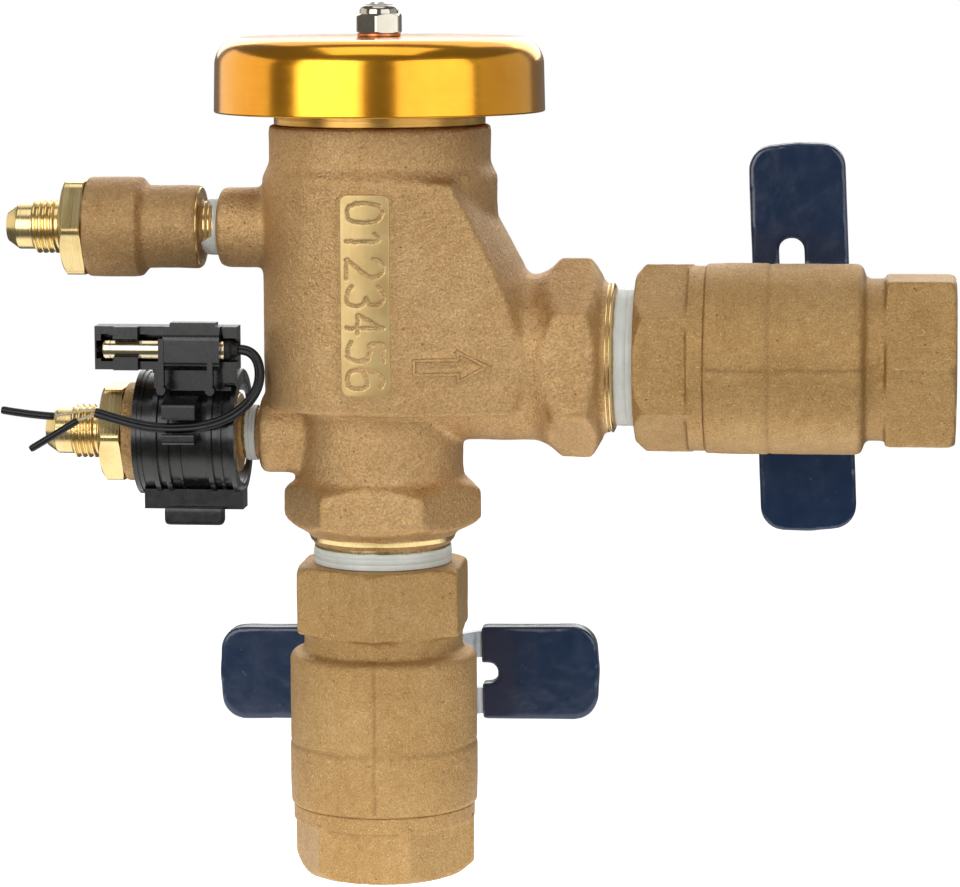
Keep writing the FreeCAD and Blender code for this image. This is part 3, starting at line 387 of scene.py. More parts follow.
def rounded(corners, steps=5):
    """Closed or open outline of (r, z[, radius]) corners with each rounding cut into steps."""
    count = len(corners)
    points = []
    for i, corner in enumerate(corners):
        here = Vector(corner[:2])
        if len(corner) < 3:
            points.append(tuple(here))
            continue
        back = (Vector(corners[i - 1][:2]) - here).normalized()
        ahead = (Vector(corners[(i + 1) % count][:2]) - here).normalized()
        half = back.angle(ahead) / 2
        reach = corner[2] / math.tan(half)
        centre = here + (back + ahead).normalized() * (corner[2] / math.sin(half))
        start = here + back * reach - centre
        end = here + ahead * reach - centre
        turn = start.angle_signed(end)
        for k in range(steps + 1):
            swung = start.copy()
            swung.rotate(Matrix.Rotation(-turn * k / steps, 2))
            points.append(tuple(centre + swung))
    return points


def grid_mesh(name, rings, closed_loop, caps=False):
    """Mesh from rows of points: each ring is a closed row, and rings follow one another."""
    rings = np.asarray(rings, float)
    rows, columns = rings.shape[:2]
    faces = []
    last = rows if closed_loop else rows - 1
    for i in range(last):
        j = (i + 1) % rows
        for k in range(columns):
            m = (k + 1) % columns
            faces.append((i * columns + k, i * columns + m, j * columns + m, j * columns + k))
    if caps:
        faces.append(tuple(range(columns - 1, -1, -1)))
        faces.append(tuple((rows - 1) * columns + k for k in range(columns)))
    mesh = bpy.data.meshes.new(name)
    mesh.from_pydata(rings.reshape(-1, 3).tolist(), [], faces)
    mesh.update()
    return mesh


def weld(mesh, distance=1e-6):
    work = bmesh.new()
    work.from_mesh(mesh)
    bmesh.ops.remove_doubles(work, verts=work.verts, dist=distance)
    bmesh.ops.recalc_face_normals(work, faces=work.faces)
    work.to_mesh(mesh)
    work.free()


def lathe(name, corners, place=UPRIGHT, segments=128, steps=5):
    """Closed outline of (r, z) turned about Z, then put in place, in metres."""
    outline = rounded(corners, steps)
    angles = np.linspace(0, 2 * math.pi, segments, endpoint=False)
    rings = [[(r * math.cos(a), r * math.sin(a), z) for a in angles] for r, z in outline]
    mesh = grid_mesh(name, rings, True)
    mesh.transform(SCALE @ place)
    weld(mesh, 1e-7)
    soften(mesh)
    return mesh


def hex_lathe(name, flats, low, high, turn, inner, place, low_end, high_end, edge=0.25):
    """Hexagon bar with a bore. An end is (radius at its face, radius where the cone meets a corner, rise)."""
    rings = [[], [], [], [], [], []]
    count = 144
    half_flats = flats / 2
    corner_angle = math.pi / 6
    for k in range(count):
        angle = 2 * math.pi * k / count
        local = ((angle - math.radians(turn)) % (math.pi / 3)) - corner_angle
        radius = half_flats / math.cos(local)
        radius = min(radius, half_flats / math.cos(corner_angle) - edge)
        cos, sin = math.cos(angle), math.sin(angle)

        def break_height(end, z, direction):
            face_r, wide_r, rise = end
            if radius <= face_r:
                return z, radius
            return z + direction * rise * (radius - face_r) / (wide_r - face_r), radius

        z_low, r_low = break_height(low_end, low, 1)
        z_high, r_high = break_height(high_end, high, -1)
        face_low = min(radius, low_end[0])
        face_high = min(radius, high_end[0])
        column = [(inner, low), (face_low, low), (r_low, z_low), (r_high, z_high), (face_high, high),
                  (inner, high)]
        for ring_points, (r, z) in zip(rings, column):
            ring_points.append((r * cos, r * sin, z))
    mesh = grid_mesh(name, rings, True)
    mesh.transform(SCALE @ place)
    weld(mesh, 1e-7)
    soften(mesh, 20)
    return mesh


def helix_ridge(name, root, crest, pitch, start, end, place=UPRIGHT, steps=40, inside=False):
    """Screw ridge with a flat crest, run out to nothing at both ends."""
    count = int((end - start) / pitch * steps)
    rings = []
    for i in range(count + 1):
        angle = 2 * math.pi * i / steps
        z = start + pitch * i / steps
        fade = min(1.0, i / (steps * 0.4), (count - i) / (steps * 0.4))
        tip = root + (crest - root) * fade
        buried = root + (0.05 if inside else -0.05)
        section = [(buried, z - pitch * 0.46), (tip, z - pitch * 0.1), (tip, z + pitch * 0.1),
                   (buried, z + pitch * 0.46)]
        rings.append([(r * math.cos(angle), r * math.sin(angle), h) for r, h in section])
    mesh = grid_mesh(name, rings, False, caps=True)
    mesh.transform(SCALE @ place)
    weld(mesh, 1e-8)
    soften(mesh, 25)
    return mesh


def joined(name, meshes):
    work = bmesh.new()
    for mesh in meshes:
        work.from_mesh(mesh)
        bpy.data.meshes.remove(mesh)
    result = bpy.data.meshes.new(name)
    work.to_mesh(result)
    work.free()
    return result


def evaluated(piece):
    graph = bpy.context.evaluated_depsgraph_get()
    return bpy.data.meshes.new_from_object(piece.evaluated_get(graph), depsgraph=graph)


def remeshed(name, node, voxel):
    """Even quad mesh of a CAD node's solids, without any of its sharp edges."""
    mesh = nodes[node].data.copy()
    mesh.materials.clear()
    weld(mesh, 1e-6)
    helper = bpy.data.objects.new(name + "_source", mesh)
    scene.collection.objects.link(helper)
    modifier = helper.modifiers.new("remesh", "REMESH")
    modifier.mode = "VOXEL"
    modifier.voxel_size = voxel
    bpy.context.view_layer.update()
    result = evaluated(helper)
    result.name = name
    bpy.data.objects.remove(helper)
    bpy.data.meshes.remove(mesh)
    return result


def coordinates(mesh):
    flat = np.empty(len(mesh.vertices) * 3)
    mesh.vertices.foreach_get("co", flat)
    return flat.reshape(-1, 3)


def store(mesh, points):
    mesh.vertices.foreach_set("co", points.ravel())
    mesh.update()


def relax(mesh, rounds):
    """Laplacian smoothing: each round moves a point halfway to the mean of its neighbours."""
    points = coordinates(mesh)
    edges = np.empty(len(mesh.edges) * 2, int)
    mesh.edges.foreach_get("vertices", edges)
    first, second = edges.reshape(-1, 2).T
    count = np.bincount(first, minlength=len(points)) + np.bincount(second, minlength=len(points))
    count = np.maximum(count, 1)[:, None]
    for _ in range(rounds):
        total = np.zeros_like(points)
        for axis in range(3):
            total[:, axis] = np.bincount(first, points[second, axis], len(points))
            total[:, axis] += np.bincount(second, points[first, axis], len(points))
        points += (total / count - points) * 0.5
    store(mesh, points)


def vertex_normals(mesh):
    flat = np.empty(len(mesh.vertices) * 3)
    mesh.vertices.foreach_get("normal", flat)
    return flat.reshape(-1, 3)


def lattice_noise(points, size, seed):
    """Smooth noise from -1 to 1 with features of about the given size."""
    scaled = points / size
    base = np.floor(scaled).astype(np.int64)
    part = scaled - base
    part = part * part * (3 - 2 * part)
    total = np.zeros(len(points))
    for dx in (0, 1):
        for dy in (0, 1):
            for dz in (0, 1):
                key = ((base[:, 0] + dx) * 73856093) ^ ((base[:, 1] + dy) * 19349663)
                key = key ^ ((base[:, 2] + dz) * 83492791) ^ (seed * 2654435761)
                key = (key ^ (key >> 13)) * 1274126177
                value = ((key ^ (key >> 16)) & 0xFFFF) / 32767.5 - 1.0
                wx = part[:, 0] if dx else 1 - part[:, 0]
                wy = part[:, 1] if dy else 1 - part[:, 1]
                wz = part[:, 2] if dz else 1 - part[:, 2]
                total += value * wx * wy * wz
    return total


def roughen(mesh, layers, seed):
    """Pushes points along their normals by layers of (feature size, height), in metres."""
    points = coordinates(mesh)
    normals = vertex_normals(mesh)
    offset = np.zeros(len(points))
    for index, (size, height) in enumerate(layers):
        offset += height * lattice_noise(points, size, seed + index * 17)
    store(mesh, points + normals * offset[:, None])


def swept(name, path, section, sides):
    """Closed tube along a path in metres. section(share, angle) gives its half sizes across and in depth."""
    path = np.asarray(path, float)
    tangents = np.gradient(path, axis=0)
    tangents /= np.linalg.norm(tangents, axis=1)[:, None]
    wide = np.cross(tangents, (0, 1, 0))
    wide /= np.linalg.norm(wide, axis=1)[:, None]
    deep = np.cross(tangents, wide)
    angles = np.linspace(0, 2 * math.pi, sides, endpoint=False)
    rings = []
    for i, centre in enumerate(path):
        share = i / (len(path) - 1)
        outline = [section(share, angle) for angle in angles]
        rings.append([centre + (wide[i] * a + deep[i] * b) * MM for a, b in outline])
    mesh = grid_mesh(name, rings, False, caps=True)
    weld(mesh, 1e-8)
    soften(mesh, 60)
    return mesh


def nurbs_points(name, route):
    """Points read from a smooth spline that has the route, in metres, as its control points."""
    curve = bpy.data.curves.new(name, "CURVE")
    curve.dimensions = "3D"
    curve.resolution_u = 14
    spline = curve.splines.new("NURBS")
    spline.points.add(len(route) - 1)
    for control, place in zip(spline.points, route):
        control.co = (*place, 1.0)
    spline.order_u = 3
    spline.use_endpoint_u = True
    helper = bpy.data.objects.new(name, curve)
    mesh = bpy.data.meshes.new_from_object(helper)
    points = [tuple(vertex.co) for vertex in mesh.vertices]
    bpy.data.objects.remove(helper)
    bpy.data.curves.remove(curve)
    bpy.data.meshes.remove(mesh)
    return points


def bevelled(node, width):
    """Breaks the sharp edges of a CAD node that stays as it is."""
    modifier = nodes[node].modifiers.new("edges", "BEVEL")
    modifier.width = width * MM
    modifier.segments = 2
    modifier.limit_method = "ANGLE"
    modifier.angle_limit = math.radians(40)
    modifier.harden_normals = True


def skin(node, voxel, rounds, material, body, layers=(), seed=1, shape=None):
    """Replaces a CAD node by an even mesh with soft edges and, where cast, an uneven surface."""
    name = node + "_skin"
    mesh = remeshed(name, node, voxel * MM)
    relax(mesh, rounds)
    if shape is not None:
        shape(mesh)
    if layers:
        roughen(mesh, layers, seed)
    soften(mesh, 180)
    return place_piece(name, mesh, material, body, [node])


CAST_LAYERS = [(0.009, 0.00009), (0.0026, 0.00005), (0.0012, 0.00004)]
FORGED_LAYERS = [(0.012, 0.00005), (0.003, 0.00003), (0.0013, 0.00003)]

# ---------------------------------------------------------------- the body casting
BODY_RADIUS = 24.1
PAD_WIDTH = 10.2
PAD_Z = (101.8, 142.5)
PAD_FACE = 24.72              # radii of the pad's face, of the foot of its edge and of its buried back
PAD_FOOT = 23.6
PAD_BACK = 22.4
PAD_EDGE = 0.32               # how wide the rounding of its edge is
DENT_DEPTH = 0.26
DENT_SPREAD = 0.085
# Strokes of the digits 0 to 6 as corners in a cell one wide and two high.
GLYPHS = [
    [(0.5, 2), (1, 1.75), (1, 0.25), (0.5, 0), (0, 0.25), (0, 1.75), (0.5, 2)],
    [(0.15, 1.55), (0.55, 2), (0.55, 0)],
    [(0, 1.5), (0.15, 2), (0.85, 2), (1, 1.45), (0.85, 1.1), (0, 0), (0, 0), (1, 0)],
    [(0, 1.7), (0.3, 2), (0.95, 2), (1, 1.2), (0.4, 1.08), (1, 1), (1, 0), (0.3, 0), (0, 0.3)],
    [(0.72, 0), (0.72, 2), (0.72, 2), (0, 0.6), (0, 0.6), (1, 0.6)],
    [(1, 2), (0.1, 2), (0.1, 2), (0.05, 1.15), (0.5, 1.3), (1, 1.1), (1, 0.1), (0.4, 0), (0, 0.25)],
    [(0.9, 1.85), (0.5, 2.05), (0, 1.5), (0, 0.1), (0.5, 0), (1, 0.1), (1, 1.05), (0.5, 1.15), (0, 0.8)],
]


def rounded_stroke(corners):
    """Stroke with its corners cut twice over and its ends kept."""
    points = np.array(corners, float)
    for _ in range(2):
        first, second = points[:-1], points[1:]
        cut = np.stack([first * 0.75 + second * 0.25, first * 0.25 + second * 0.75], axis=1)
        points = np.concatenate([points[:1], cut.reshape(-1, 2), points[-1:]])
    return points


def dent_places():
    """Centres of the dents that write the digits 0 to 6 down the pad, with their tops to the right."""
    width, height, step = 3.8, 7.2, 0.5
    places = []
    for index, glyph in enumerate(GLYPHS):
        left = PAD_Z[1] - 1.9 - index * 5.55
        stroke = rounded_stroke(glyph) * (width, height / 2)
        run = np.concatenate([[0], np.cumsum(np.linalg.norm(np.diff(stroke, axis=0), axis=1))])
        stops = np.linspace(0, run[-1], int(round(run[-1] / step)) + 1)
        along, up = np.interp(stops, run, stroke[:, 0]), np.interp(stops, run, stroke[:, 1])
        places.append(np.stack([up - height / 2, left - along], axis=1))
    places = np.concatenate(places)
    return places + rng.normal(0, 0.06, places.shape)


def label_pad():
    """Ground pad that follows the body's round front, with its dents as real hollows."""
    across = np.linspace(-PAD_WIDTH / 2, PAD_WIDTH / 2, 79)
    upward = np.linspace(*PAD_Z, 313)
    wide, high = np.meshgrid(across, upward)
    corner = 1.8
    over_x = np.abs(wide) - (PAD_WIDTH / 2 - corner)
    over_z = np.abs(high - sum(PAD_Z) / 2) - ((PAD_Z[1] - PAD_Z[0]) / 2 - corner)
    outside = np.hypot(np.maximum(over_x, 0), np.maximum(over_z, 0))
    outside += np.minimum(np.maximum(over_x, over_z), 0)
    edge = np.clip((corner - outside) / PAD_EDGE, 0, 1)
    dents = np.zeros_like(wide)
    for x, z in dent_places():
        near = (np.abs(wide - x) < 0.9) & (np.abs(high - z) < 0.9)
        hollow = np.exp(-((wide - x) ** 2 + (high - z) ** 2) / DENT_SPREAD)
        dents[near] = np.maximum(dents[near], hollow[near])
    radius = PAD_FOOT + (PAD_FACE - PAD_FOOT) * np.sqrt(1 - (1 - edge) ** 2) - DENT_DEPTH * dents
    angle = wide / BODY_RADIUS
    points = np.stack([radius * np.sin(angle), -radius * np.cos(angle), high], axis=2)
    back = np.stack([PAD_BACK * np.sin(angle), -PAD_BACK * np.cos(angle), high], axis=2)
    rows, columns = wide.shape
    front = np.arange(rows * columns).reshape(rows, columns)
    rear = front + rows * columns
    faces = []
    for grid, flip in ((front, False), (rear, True)):
        quads = np.stack([grid[:-1, :-1], grid[:-1, 1:], grid[1:, 1:], grid[1:, :-1]], axis=2).reshape(-1, 4)
        faces += (quads[:, ::-1] if flip else quads).tolist()
    rim = np.concatenate([np.arange(columns), front[1:, -1], front[-1, -2::-1], front[-2:0:-1, 0]])
    for first, second in zip(rim, np.roll(rim, -1)):
        faces.append([int(second), int(first), int(first + rows * columns), int(second + rows * columns)])
    mesh = bpy.data.meshes.new("label_pad")
    mesh.from_pydata(np.concatenate([points, back]).reshape(-1, 3).tolist(), [], faces)
    mesh.transform(SCALE)
    mesh.update()
    soften(mesh, 50)
    # how deep each point lies in a dent, kept to paint shade into the dents
    dent_shade = mesh.attributes.new("dent_shade", "FLOAT", "POINT")
    dent_shade.data.foreach_set("value", np.concatenate([dents.ravel(), np.zeros(dents.size)]).astype(np.float32))
    piece = place_piece("label_pad", mesh, PAD_BRONZE, "body")


def flow_arrow(casting):
    """Raised outline of an arrow that follows the shoulder's front, pointing to the outlet."""
    tree = BVHTree.FromPolygons([vertex.co for vertex in casting.data.vertices],
                                [tuple(face.vertices) for face in casting.data.polygons])
    start, neck, tip, steps = 9.3, 17.9, 24.6, 8

    def outline(inset, height):
        shaft = 1.75 - inset
        head = 3.45 - 1.5 * inset
        corners = np.array([(start + inset, -shaft), (neck + inset, -shaft), (neck + inset, -head),
                            (tip - 2.4 * inset, 0), (neck + inset, head), (neck + inset, shaft),
                            (start + inset, shaft)])
        ring = []
        for here, ahead in zip(corners, np.roll(corners, -1, axis=0)):
            for k in range(steps):
                x, z = (here + (ahead - here) * k / steps + (0, OUTLET_Z + 0.1)) * MM
                hit = tree.ray_cast(Vector((x, -0.1, z)), Vector((0, 1, 0)))[0]
                ring.append((x, hit.y - height * MM, z))
        return ring

    rings = [outline(-0.15, -0.6), outline(-0.08, 0.2), outline(0.12, 0.4), outline(0.5, 0.4),
             outline(0.7, 0.2), outline(0.77, -0.6)]
    mesh = grid_mesh("flow_arrow", rings, True)
    weld(mesh)
    soften(mesh, 40)
    piece = place_piece("flow_arrow", mesh, ARROW_BRONZE, "body")


def nipple_collars():
    """Turned collars and the last thread crests between the casting's hexagons and the tape."""
    lower = lathe("body_inlet_nipple", [(12.2, 68.2), (14.1, 68.2, 0.1), (14.1, 69.2, 0.1), (13.7, 69.4, 0.1),
                                        (14.85, 69.75, 0.15), (15.3, 70.9, 0.1), (12.2, 70.9)])
    ridges = [(13.0, 45.7)]
    for z in (46.35, 47.2, 48.0):
        ridges += [(14.75, z - 0.42), (15.3, z - 0.12, 0.06), (15.3, z + 0.12, 0.06)]
    ridges += [(14.7, 48.42), (13.0, 48.42)]
    outer = lathe("body_outlet_nipple", ridges, OUTLET)
    for mesh in (lower, outer):
        piece = place_piece(mesh.name, mesh, BRASS, "body")


def body_parts():
    casting = skin("body_casting", 0.68, 4, BODY_BRONZE, "body", CAST_LAYERS, 3)
    label_pad()
    flow_arrow(casting)
    nipple_collars()


# ---------------------------------------------------------------- ball valves
# Heights are measured along the valve from its end piece's face.
VALVE_LENGTH = 64.8
STILL_RADIUS = 14.4           # the port and the bores lie inside this, and stay where they are
RIM_RADIUS = 16.2             # the spigot lies inside this, so further out a piece ends at the joint
END_RIM = 14.4                # where the joint's two rims are moved to
BARREL_RIM = 14.2
SEAM_HEIGHT = 27.2            # the line round the barrel
SEAM_TOP = 47.5               # where the line along the barrel has died away


def port_face(name, place):
    """Turned end face of a port with the start of its pipe thread."""
    face = lathe(name + "_face", [(12.45, 0), (13.3, -0.03), (16.4, -0.03, 0.1), (16.6, 0.3), (12.45, 0.3)],
                 place)
    thread = helix_ridge(name + "_thread", 12.62, 11.9, 1.814, 1.0, 12.0, place, inside=True)
    piece = place_piece(name, joined(name, [face, thread]), BRASS, "body")


def move_joint(local, is_end):
    """Moves the joint between a valve's end piece and its barrel, and lengthens the end's hexagon."""
    radius = np.hypot(local[:, 0], local[:, 1])
    z = local[:, 2]
    rim = z[radius > RIM_RADIUS]
    if is_end:
        joint = rim.max()
        moved = np.interp(z, [0, 8.4, 9.4, joint], [0, 10.3, 11.2, END_RIM])
        held = z > joint + 0.1
    else:
        joint = rim.min()
        moved = np.interp(z, [joint, joint + 4], [BARREL_RIM, joint + 4])
        held = z > joint + 4
    local[:, 2] = np.where((radius > STILL_RADIUS) & ~held, moved, z)


def valve_shape(place, is_end):
    """Joint, step and fine lines where the forging dies met, in the valve's own coordinates, with a mask of
    painted shade along the lines.
    """
    to_frame = np.array(SCALE @ place)
    to_valve = np.linalg.inv(to_frame)

    def shape(mesh):
        points = coordinates(mesh)
        local = points @ to_valve[:3, :3].T + to_valve[:3, 3]
        move_joint(local, is_end)
        points = local @ to_frame[:3, :3].T + to_frame[:3, 3]
        store(mesh, points)
        if is_end:
            return
        x, y, z = local.T
        outer = (np.hypot(x, y) > 15.2) & (z > 15.0)
        wander = 0.2 * lattice_noise(points, 0.006, 9)
        patchy = 0.6 + 0.4 * lattice_noise(points, 0.002, 10)
        ring = np.exp(-((z - SEAM_HEIGHT - wander) / 0.45) ** 2)
        line = np.exp(-((x - 0.4 - wander) / 0.3) ** 2) * (y < 0) * patchy
        line *= np.clip((SEAM_TOP - z) / 2, 0, 1)
        step = 0.10 * (z < SEAM_HEIGHT) * np.clip((z - 16.0) / 4, 0, 1)
        push = (step - 0.16 * ring - 0.15 * line) * outer * MM
        store(mesh, points + vertex_normals(mesh) * push[:, None])
        # mask of painted shade along the die lines, which darkens their colour
        seam_shade = mesh.attributes.new("seam_shade", "FLOAT", "POINT")
        seam_shade.data.foreach_set("value", (outer * np.maximum(line, 0.3 * ring)).astype(np.float32))

    return shape


def ball_valves():
    flip = spot(0, 0, VALVE_LENGTH) @ Matrix.Rotation(math.pi, 4, "X")
    for side, place in (("inlet", UPRIGHT), ("outlet", OUTLET_VALVE)):
        skin(side + "_valve_body", 0.42, 3, VALVE_BRONZE, "body", FORGED_LAYERS, 11,
             valve_shape(place, False))
        skin(side + "_valve_end", 0.38, 1, VALVE_BRONZE, "body", FORGED_LAYERS, 13,
             valve_shape(place, True))
        skin(side + "_handle_grips", 0.36, 5, VINYL, side + "_handle", [(0.006, 0.00005)], 5)
        for node, width in (("handle", 0.3), ("handle_nut", 0.2), ("gland_nut", 0.25), ("stem", 0.15)):
            bevelled(side + "_" + node, width)
    port_face("inlet_port_face", UPRIGHT)
    port_face("outlet_port_face", OUTLET_VALVE @ flip)


def wrap(name, inner, outer, start, end_at, place, seed):
    """Sealing tape round a thread: lumpy, with a ragged edge whose place depends on the angle."""
    count = 160
    angles = np.linspace(0, 2 * math.pi, count, endpoint=False)
    circle = np.stack([np.cos(angles), np.sin(angles), np.zeros(count)], axis=1)
    rings = []
    shares = [(inner, 0.0), (outer - 0.1, 0.0), (outer, 0.06), (outer, 0.3), (outer - 0.08, 0.33),
              (outer, 0.37), (outer, 0.62), (outer - 0.07, 0.66), (outer - 0.02, 0.7), (outer - 0.05, 0.94),
              (outer - 0.25, 1.0), (inner, 1.0)]
    for radius, share in shares:
        lump = lattice_noise(circle * 3.0 + share * 2.0, 1.0, seed) * 0.06 if radius > inner else 0
        edge = lattice_noise(circle * 9.0, 1.0, seed + 5) * 0.16
        end = end_at(np.degrees(angles)) + edge
        z = start + (end - start) * share
        reach = radius + lump
        rings.append(np.stack([reach * np.cos(angles), reach * np.sin(angles), z], axis=1))
    mesh = grid_mesh(name, rings, True)
    mesh.transform(SCALE @ place)
    weld(mesh, 1e-8)
    soften(mesh, 50)
    return mesh


def valve_tapes():
    lower = wrap("lower", 13.2, 14.3, 64.9, lambda a: 68.25 + 0 * a, UPRIGHT, 3)
    outer = wrap("outer", 13.2, 13.95, 52.6, lambda a: 48.5 + 0 * a, OUTLET, 4)
    place_piece("valve_thread_tape_turns", joined("turns", [lower, outer]), TAPE, "body",
                ["valve_thread_tape"])


# ---------------------------------------------------------------- bonnet and canopy
STUD_HOLE = 2.08              # radius of the nut's bore, and of the stud over its thread


def spring_coils():
    """Puts a copy of each spring's mesh, unchanged, in place of its CAD node."""
    for node, joint, travel, fixed_end in (("check_spring", "check_lift", 0.008, 0.1205),
                                           ("vent_spring", "vent_lift", 0.006, 0.1526)):
        mesh = nodes[node].data.copy()
        mesh.materials.clear()
        piece = place_piece(node + "_coils", mesh, STEEL, "body", [node])
        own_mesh(piece)


def bonnet_and_canopy():
    top, rim, radius = 173.0, 157.8, 33.85
    cap = lathe("canopy_sheet", [(2.3, top), (33.5, top, 5.6), (radius, rim, 0.35), (radius - 1, rim, 0.35),
                                 (32.5, top - 1, 4.6), (2.3, top - 1)], segments=288, steps=16)
    place_piece("canopy_sheet", cap, GOLD, "body", ["canopy"])
    washer = lathe("washer", [(2.2, top), (4.45, top, 0.25), (4.45, top + 0.8, 0.25), (2.2, top + 0.8)])
    place_piece("canopy_washer_disc", washer, COPPER, "body", ["canopy_washer"])
    low = top + 0.8
    nut = hex_lathe("nut", 8.75, low, low + 3.9, 30, STUD_HOLE, UPRIGHT, (4.5, 5.15, 0.4), (4.3, 5.15, 0.65),
                    edge=0.12)
    collar = lathe("collar", [(STUD_HOLE, low + 3.5), (3.95, low + 3.5), (3.95, low + 5.7, 1.3),
                              (2.9, low + 5.7, 0.1), (2.7, low + 5.45), (STUD_HOLE, low + 5.4)])
    place_piece("canopy_lock_nut", joined("lock_nut", [nut, collar]), CHROME, "body", ["canopy_nut"])
    stud = lathe("stud", [(0.01, 163.2), (1.75, 163.2), (1.75, 179.6), (1.3, 180.0), (0.01, 180.0)],
                 segments=48)
    thread = helix_ridge("thread", 1.76, STUD_HOLE, 0.794, 164.0, 179.7, steps=32)
    place_piece("canopy_stud_thread", joined("stud_thread", [stud, thread]), STEEL, "body", ["canopy_stud"])
    bevelled("bonnet", 0.25)
    nodes["bonnet"].data.materials[0] = BONNET_BRASS


# ---------------------------------------------------------------- test cocks
COCKS = {"upper_cock": UPPER_COCK, "lower_cock": LOWER_COCK}
# Height of the upper tape's torn edge, by the angle round the nipple in degrees.
TORN_EDGE = [(0, 2.5), (90, 2.4), (185, 2.4), (218, 3.3), (238, 3.3), (252, 1.2), (275, 0.9), (325, 1.1),
             (345, 2.3), (360, 2.5)]


def upper_edge(angle):
    return np.interp(angle, [a for a, _ in TORN_EDGE], [z for _, z in TORN_EDGE])


def lower_edge(angle):
    return 2.35 + 0.15 * np.cos(np.radians(angle))


def flare_end(cock, place):
    hexagon = hex_lathe("hexagon", 19.05, 27.5, 32.1, 28.5, 2.1, place, (10.3, 11.4, 0.45), (9.5, 11.2, 1.2))
    nose = lathe("nose", [(2.1, 31.6), (4.75, 31.6), (4.75, 33.2), (4.95, 33.4), (4.95, 38.6), (4.7, 38.9),
                          (4.7, 42.1, 0.6), (3.0, 44.5, 0.5), (2.5, 44.5, 0.1), (2.1, 44.0)], place, 96)
    thread = helix_ridge("thread", 4.9, 5.556, 1.27, 33.5, 39.0, place)
    turned = joined("turned", [hexagon, nose, thread])
    place_piece(cock + "_flare_end_turned", turned, BRASS, "body", [cock + "_flare_end"])


def test_cocks():
    tapes = []
    for index, (cock, (x, z)) in enumerate(COCKS.items()):
        place = spot(x, 0, z) @ TO_LEFT
        skin(cock + "_body", 0.34, 3, COCK_BRONZE, "body", CAST_LAYERS, 21 + index)
        flare_end(cock, place)
        ridge = helix_ridge("ridge", 4.95, 5.3, 0.94, 0.2, 4.0, place)
        core = lathe("core", [(4.2, 0.05), (5.0, 0.05), (5.0, 3.8), (8.2, 3.8, 0.2), (8.2, 4.3), (4.2, 4.3)],
                     place)
        nipple = joined(cock + "_nipple", [ridge, core])
        place_piece(cock + "_nipple", nipple, BRASS, "body")
        edge = lower_edge if index else upper_edge
        tapes.append(wrap("tape", 4.9, 5.75, 0.12, edge, place, 31 + index))
        bevelled(cock + "_stem", 0.12)
    place_piece("cock_thread_tape_turns", joined("cock_tapes", tapes), TAPE, "body", ["cock_thread_tape"])


# ---------------------------------------------------------------- clip-on sensor
LEAD_ROUTE = [(-0.02808, -0.0102, 0.1097), (-0.0264, -0.0102, 0.10975), (-0.0242, -0.0109, 0.1082),
              (-0.0233, -0.012, 0.1052), (-0.0237, -0.0133, 0.102), (-0.0258, -0.0143, 0.0988),
              (-0.0294, -0.0147, 0.0962), (-0.034, -0.0149, 0.0946), (-0.039, -0.0149, 0.094),
              (-0.0445, -0.0149, 0.094), (-0.05, -0.0146, 0.0949), (-0.0573, -0.0136, 0.0969)]
WIRES = {"upper": [(-0.0573, -0.0136, 0.0975), (-0.061, -0.0134, 0.0972), (-0.06615, -0.0132, 0.0960)],
         "lower": [(-0.0573, -0.0136, 0.0964), (-0.0594, -0.0137, 0.0961), (-0.0611, -0.0139, 0.0952)]}
TIPS = {"upper": ([(-0.066, -0.0132, 0.096), (-0.0715, -0.013, 0.0963), (-0.077, -0.0128, 0.0972)], 0.82),
        "lower": ([(-0.0609, -0.0139, 0.0953), (-0.0658, -0.0138, 0.0923), (-0.071, -0.0134, 0.0892)], 0.74)}


def twin_section(share, angle):
    """Two conductors side by side in one sheath, with a groove between them."""
    half_width, half_depth = 1.05, 0.62
    across = half_width * math.cos(angle)
    groove = 1 - 0.34 * math.exp(-((across / 0.3) ** 2))
    return across, half_depth * math.sin(angle) * groove


def strand_section(share, angle):
    return 0.11 * math.cos(angle), 0.11 * math.sin(angle)


def stranded(name, route, twist):
    """Seven fine strands twisted round one another, fanning out a little."""
    path = np.array(nurbs_points(name, route))
    meshes = []
    for k in range(7):
        spread = 0.0 if k == 6 else 0.2
        turn = 2 * math.pi * k / 6 + np.linspace(0, twist, len(path))
        offset = np.stack([0 * turn, np.cos(turn), np.sin(turn)], axis=1) * spread * MM
        meshes.append(swept("strand", path + offset, strand_section, 8))
    return joined(name, meshes)


def slug(name, route, radius):
    def section(share, angle):
        end = min(share, 1 - share)
        size = radius * (0.86 + 0.14 * min(1.0, end / 0.03))
        return size * math.cos(angle), size * math.sin(angle)
    return swept(name, nurbs_points(name, route), section, 20)


def sensor_lead():
    path = nurbs_points("lead_path", LEAD_ROUTE)
    sheath = place_piece("sensor_lead_sheath", swept("sheath", path, twin_section, 40), PVC, "body",
                         ["sensor_lead"])
    wires = joined("wires", [stranded(name, route, 7.0) for name, route in WIRES.items()])
    wires = place_piece("lead_wire_strands", wires, TINNED, "body", ["lead_bare_wires"])
    slugs = joined("slugs", [slug(name, route, radius) for name, (route, radius) in TIPS.items()])
    slugs = place_piece("lead_insulation_slugs", slugs, PVC, "body", ["lead_insulation_tips"])


def raise_tab(mesh):
    """Lets the finger tab's top edge reach up in front of the latch block, as moulded."""
    points = coordinates(mesh)
    x, y, z = points.T / MM
    tab = (y < -6.5) & (y > -9.0) & (z > 74.4) & (z < 76.3) & (x > -44.8) & (x < -31.3)
    points[:, 2] += 0.75 * MM * np.clip(z - 74.4, 0, 1) * tab
    store(mesh, points)


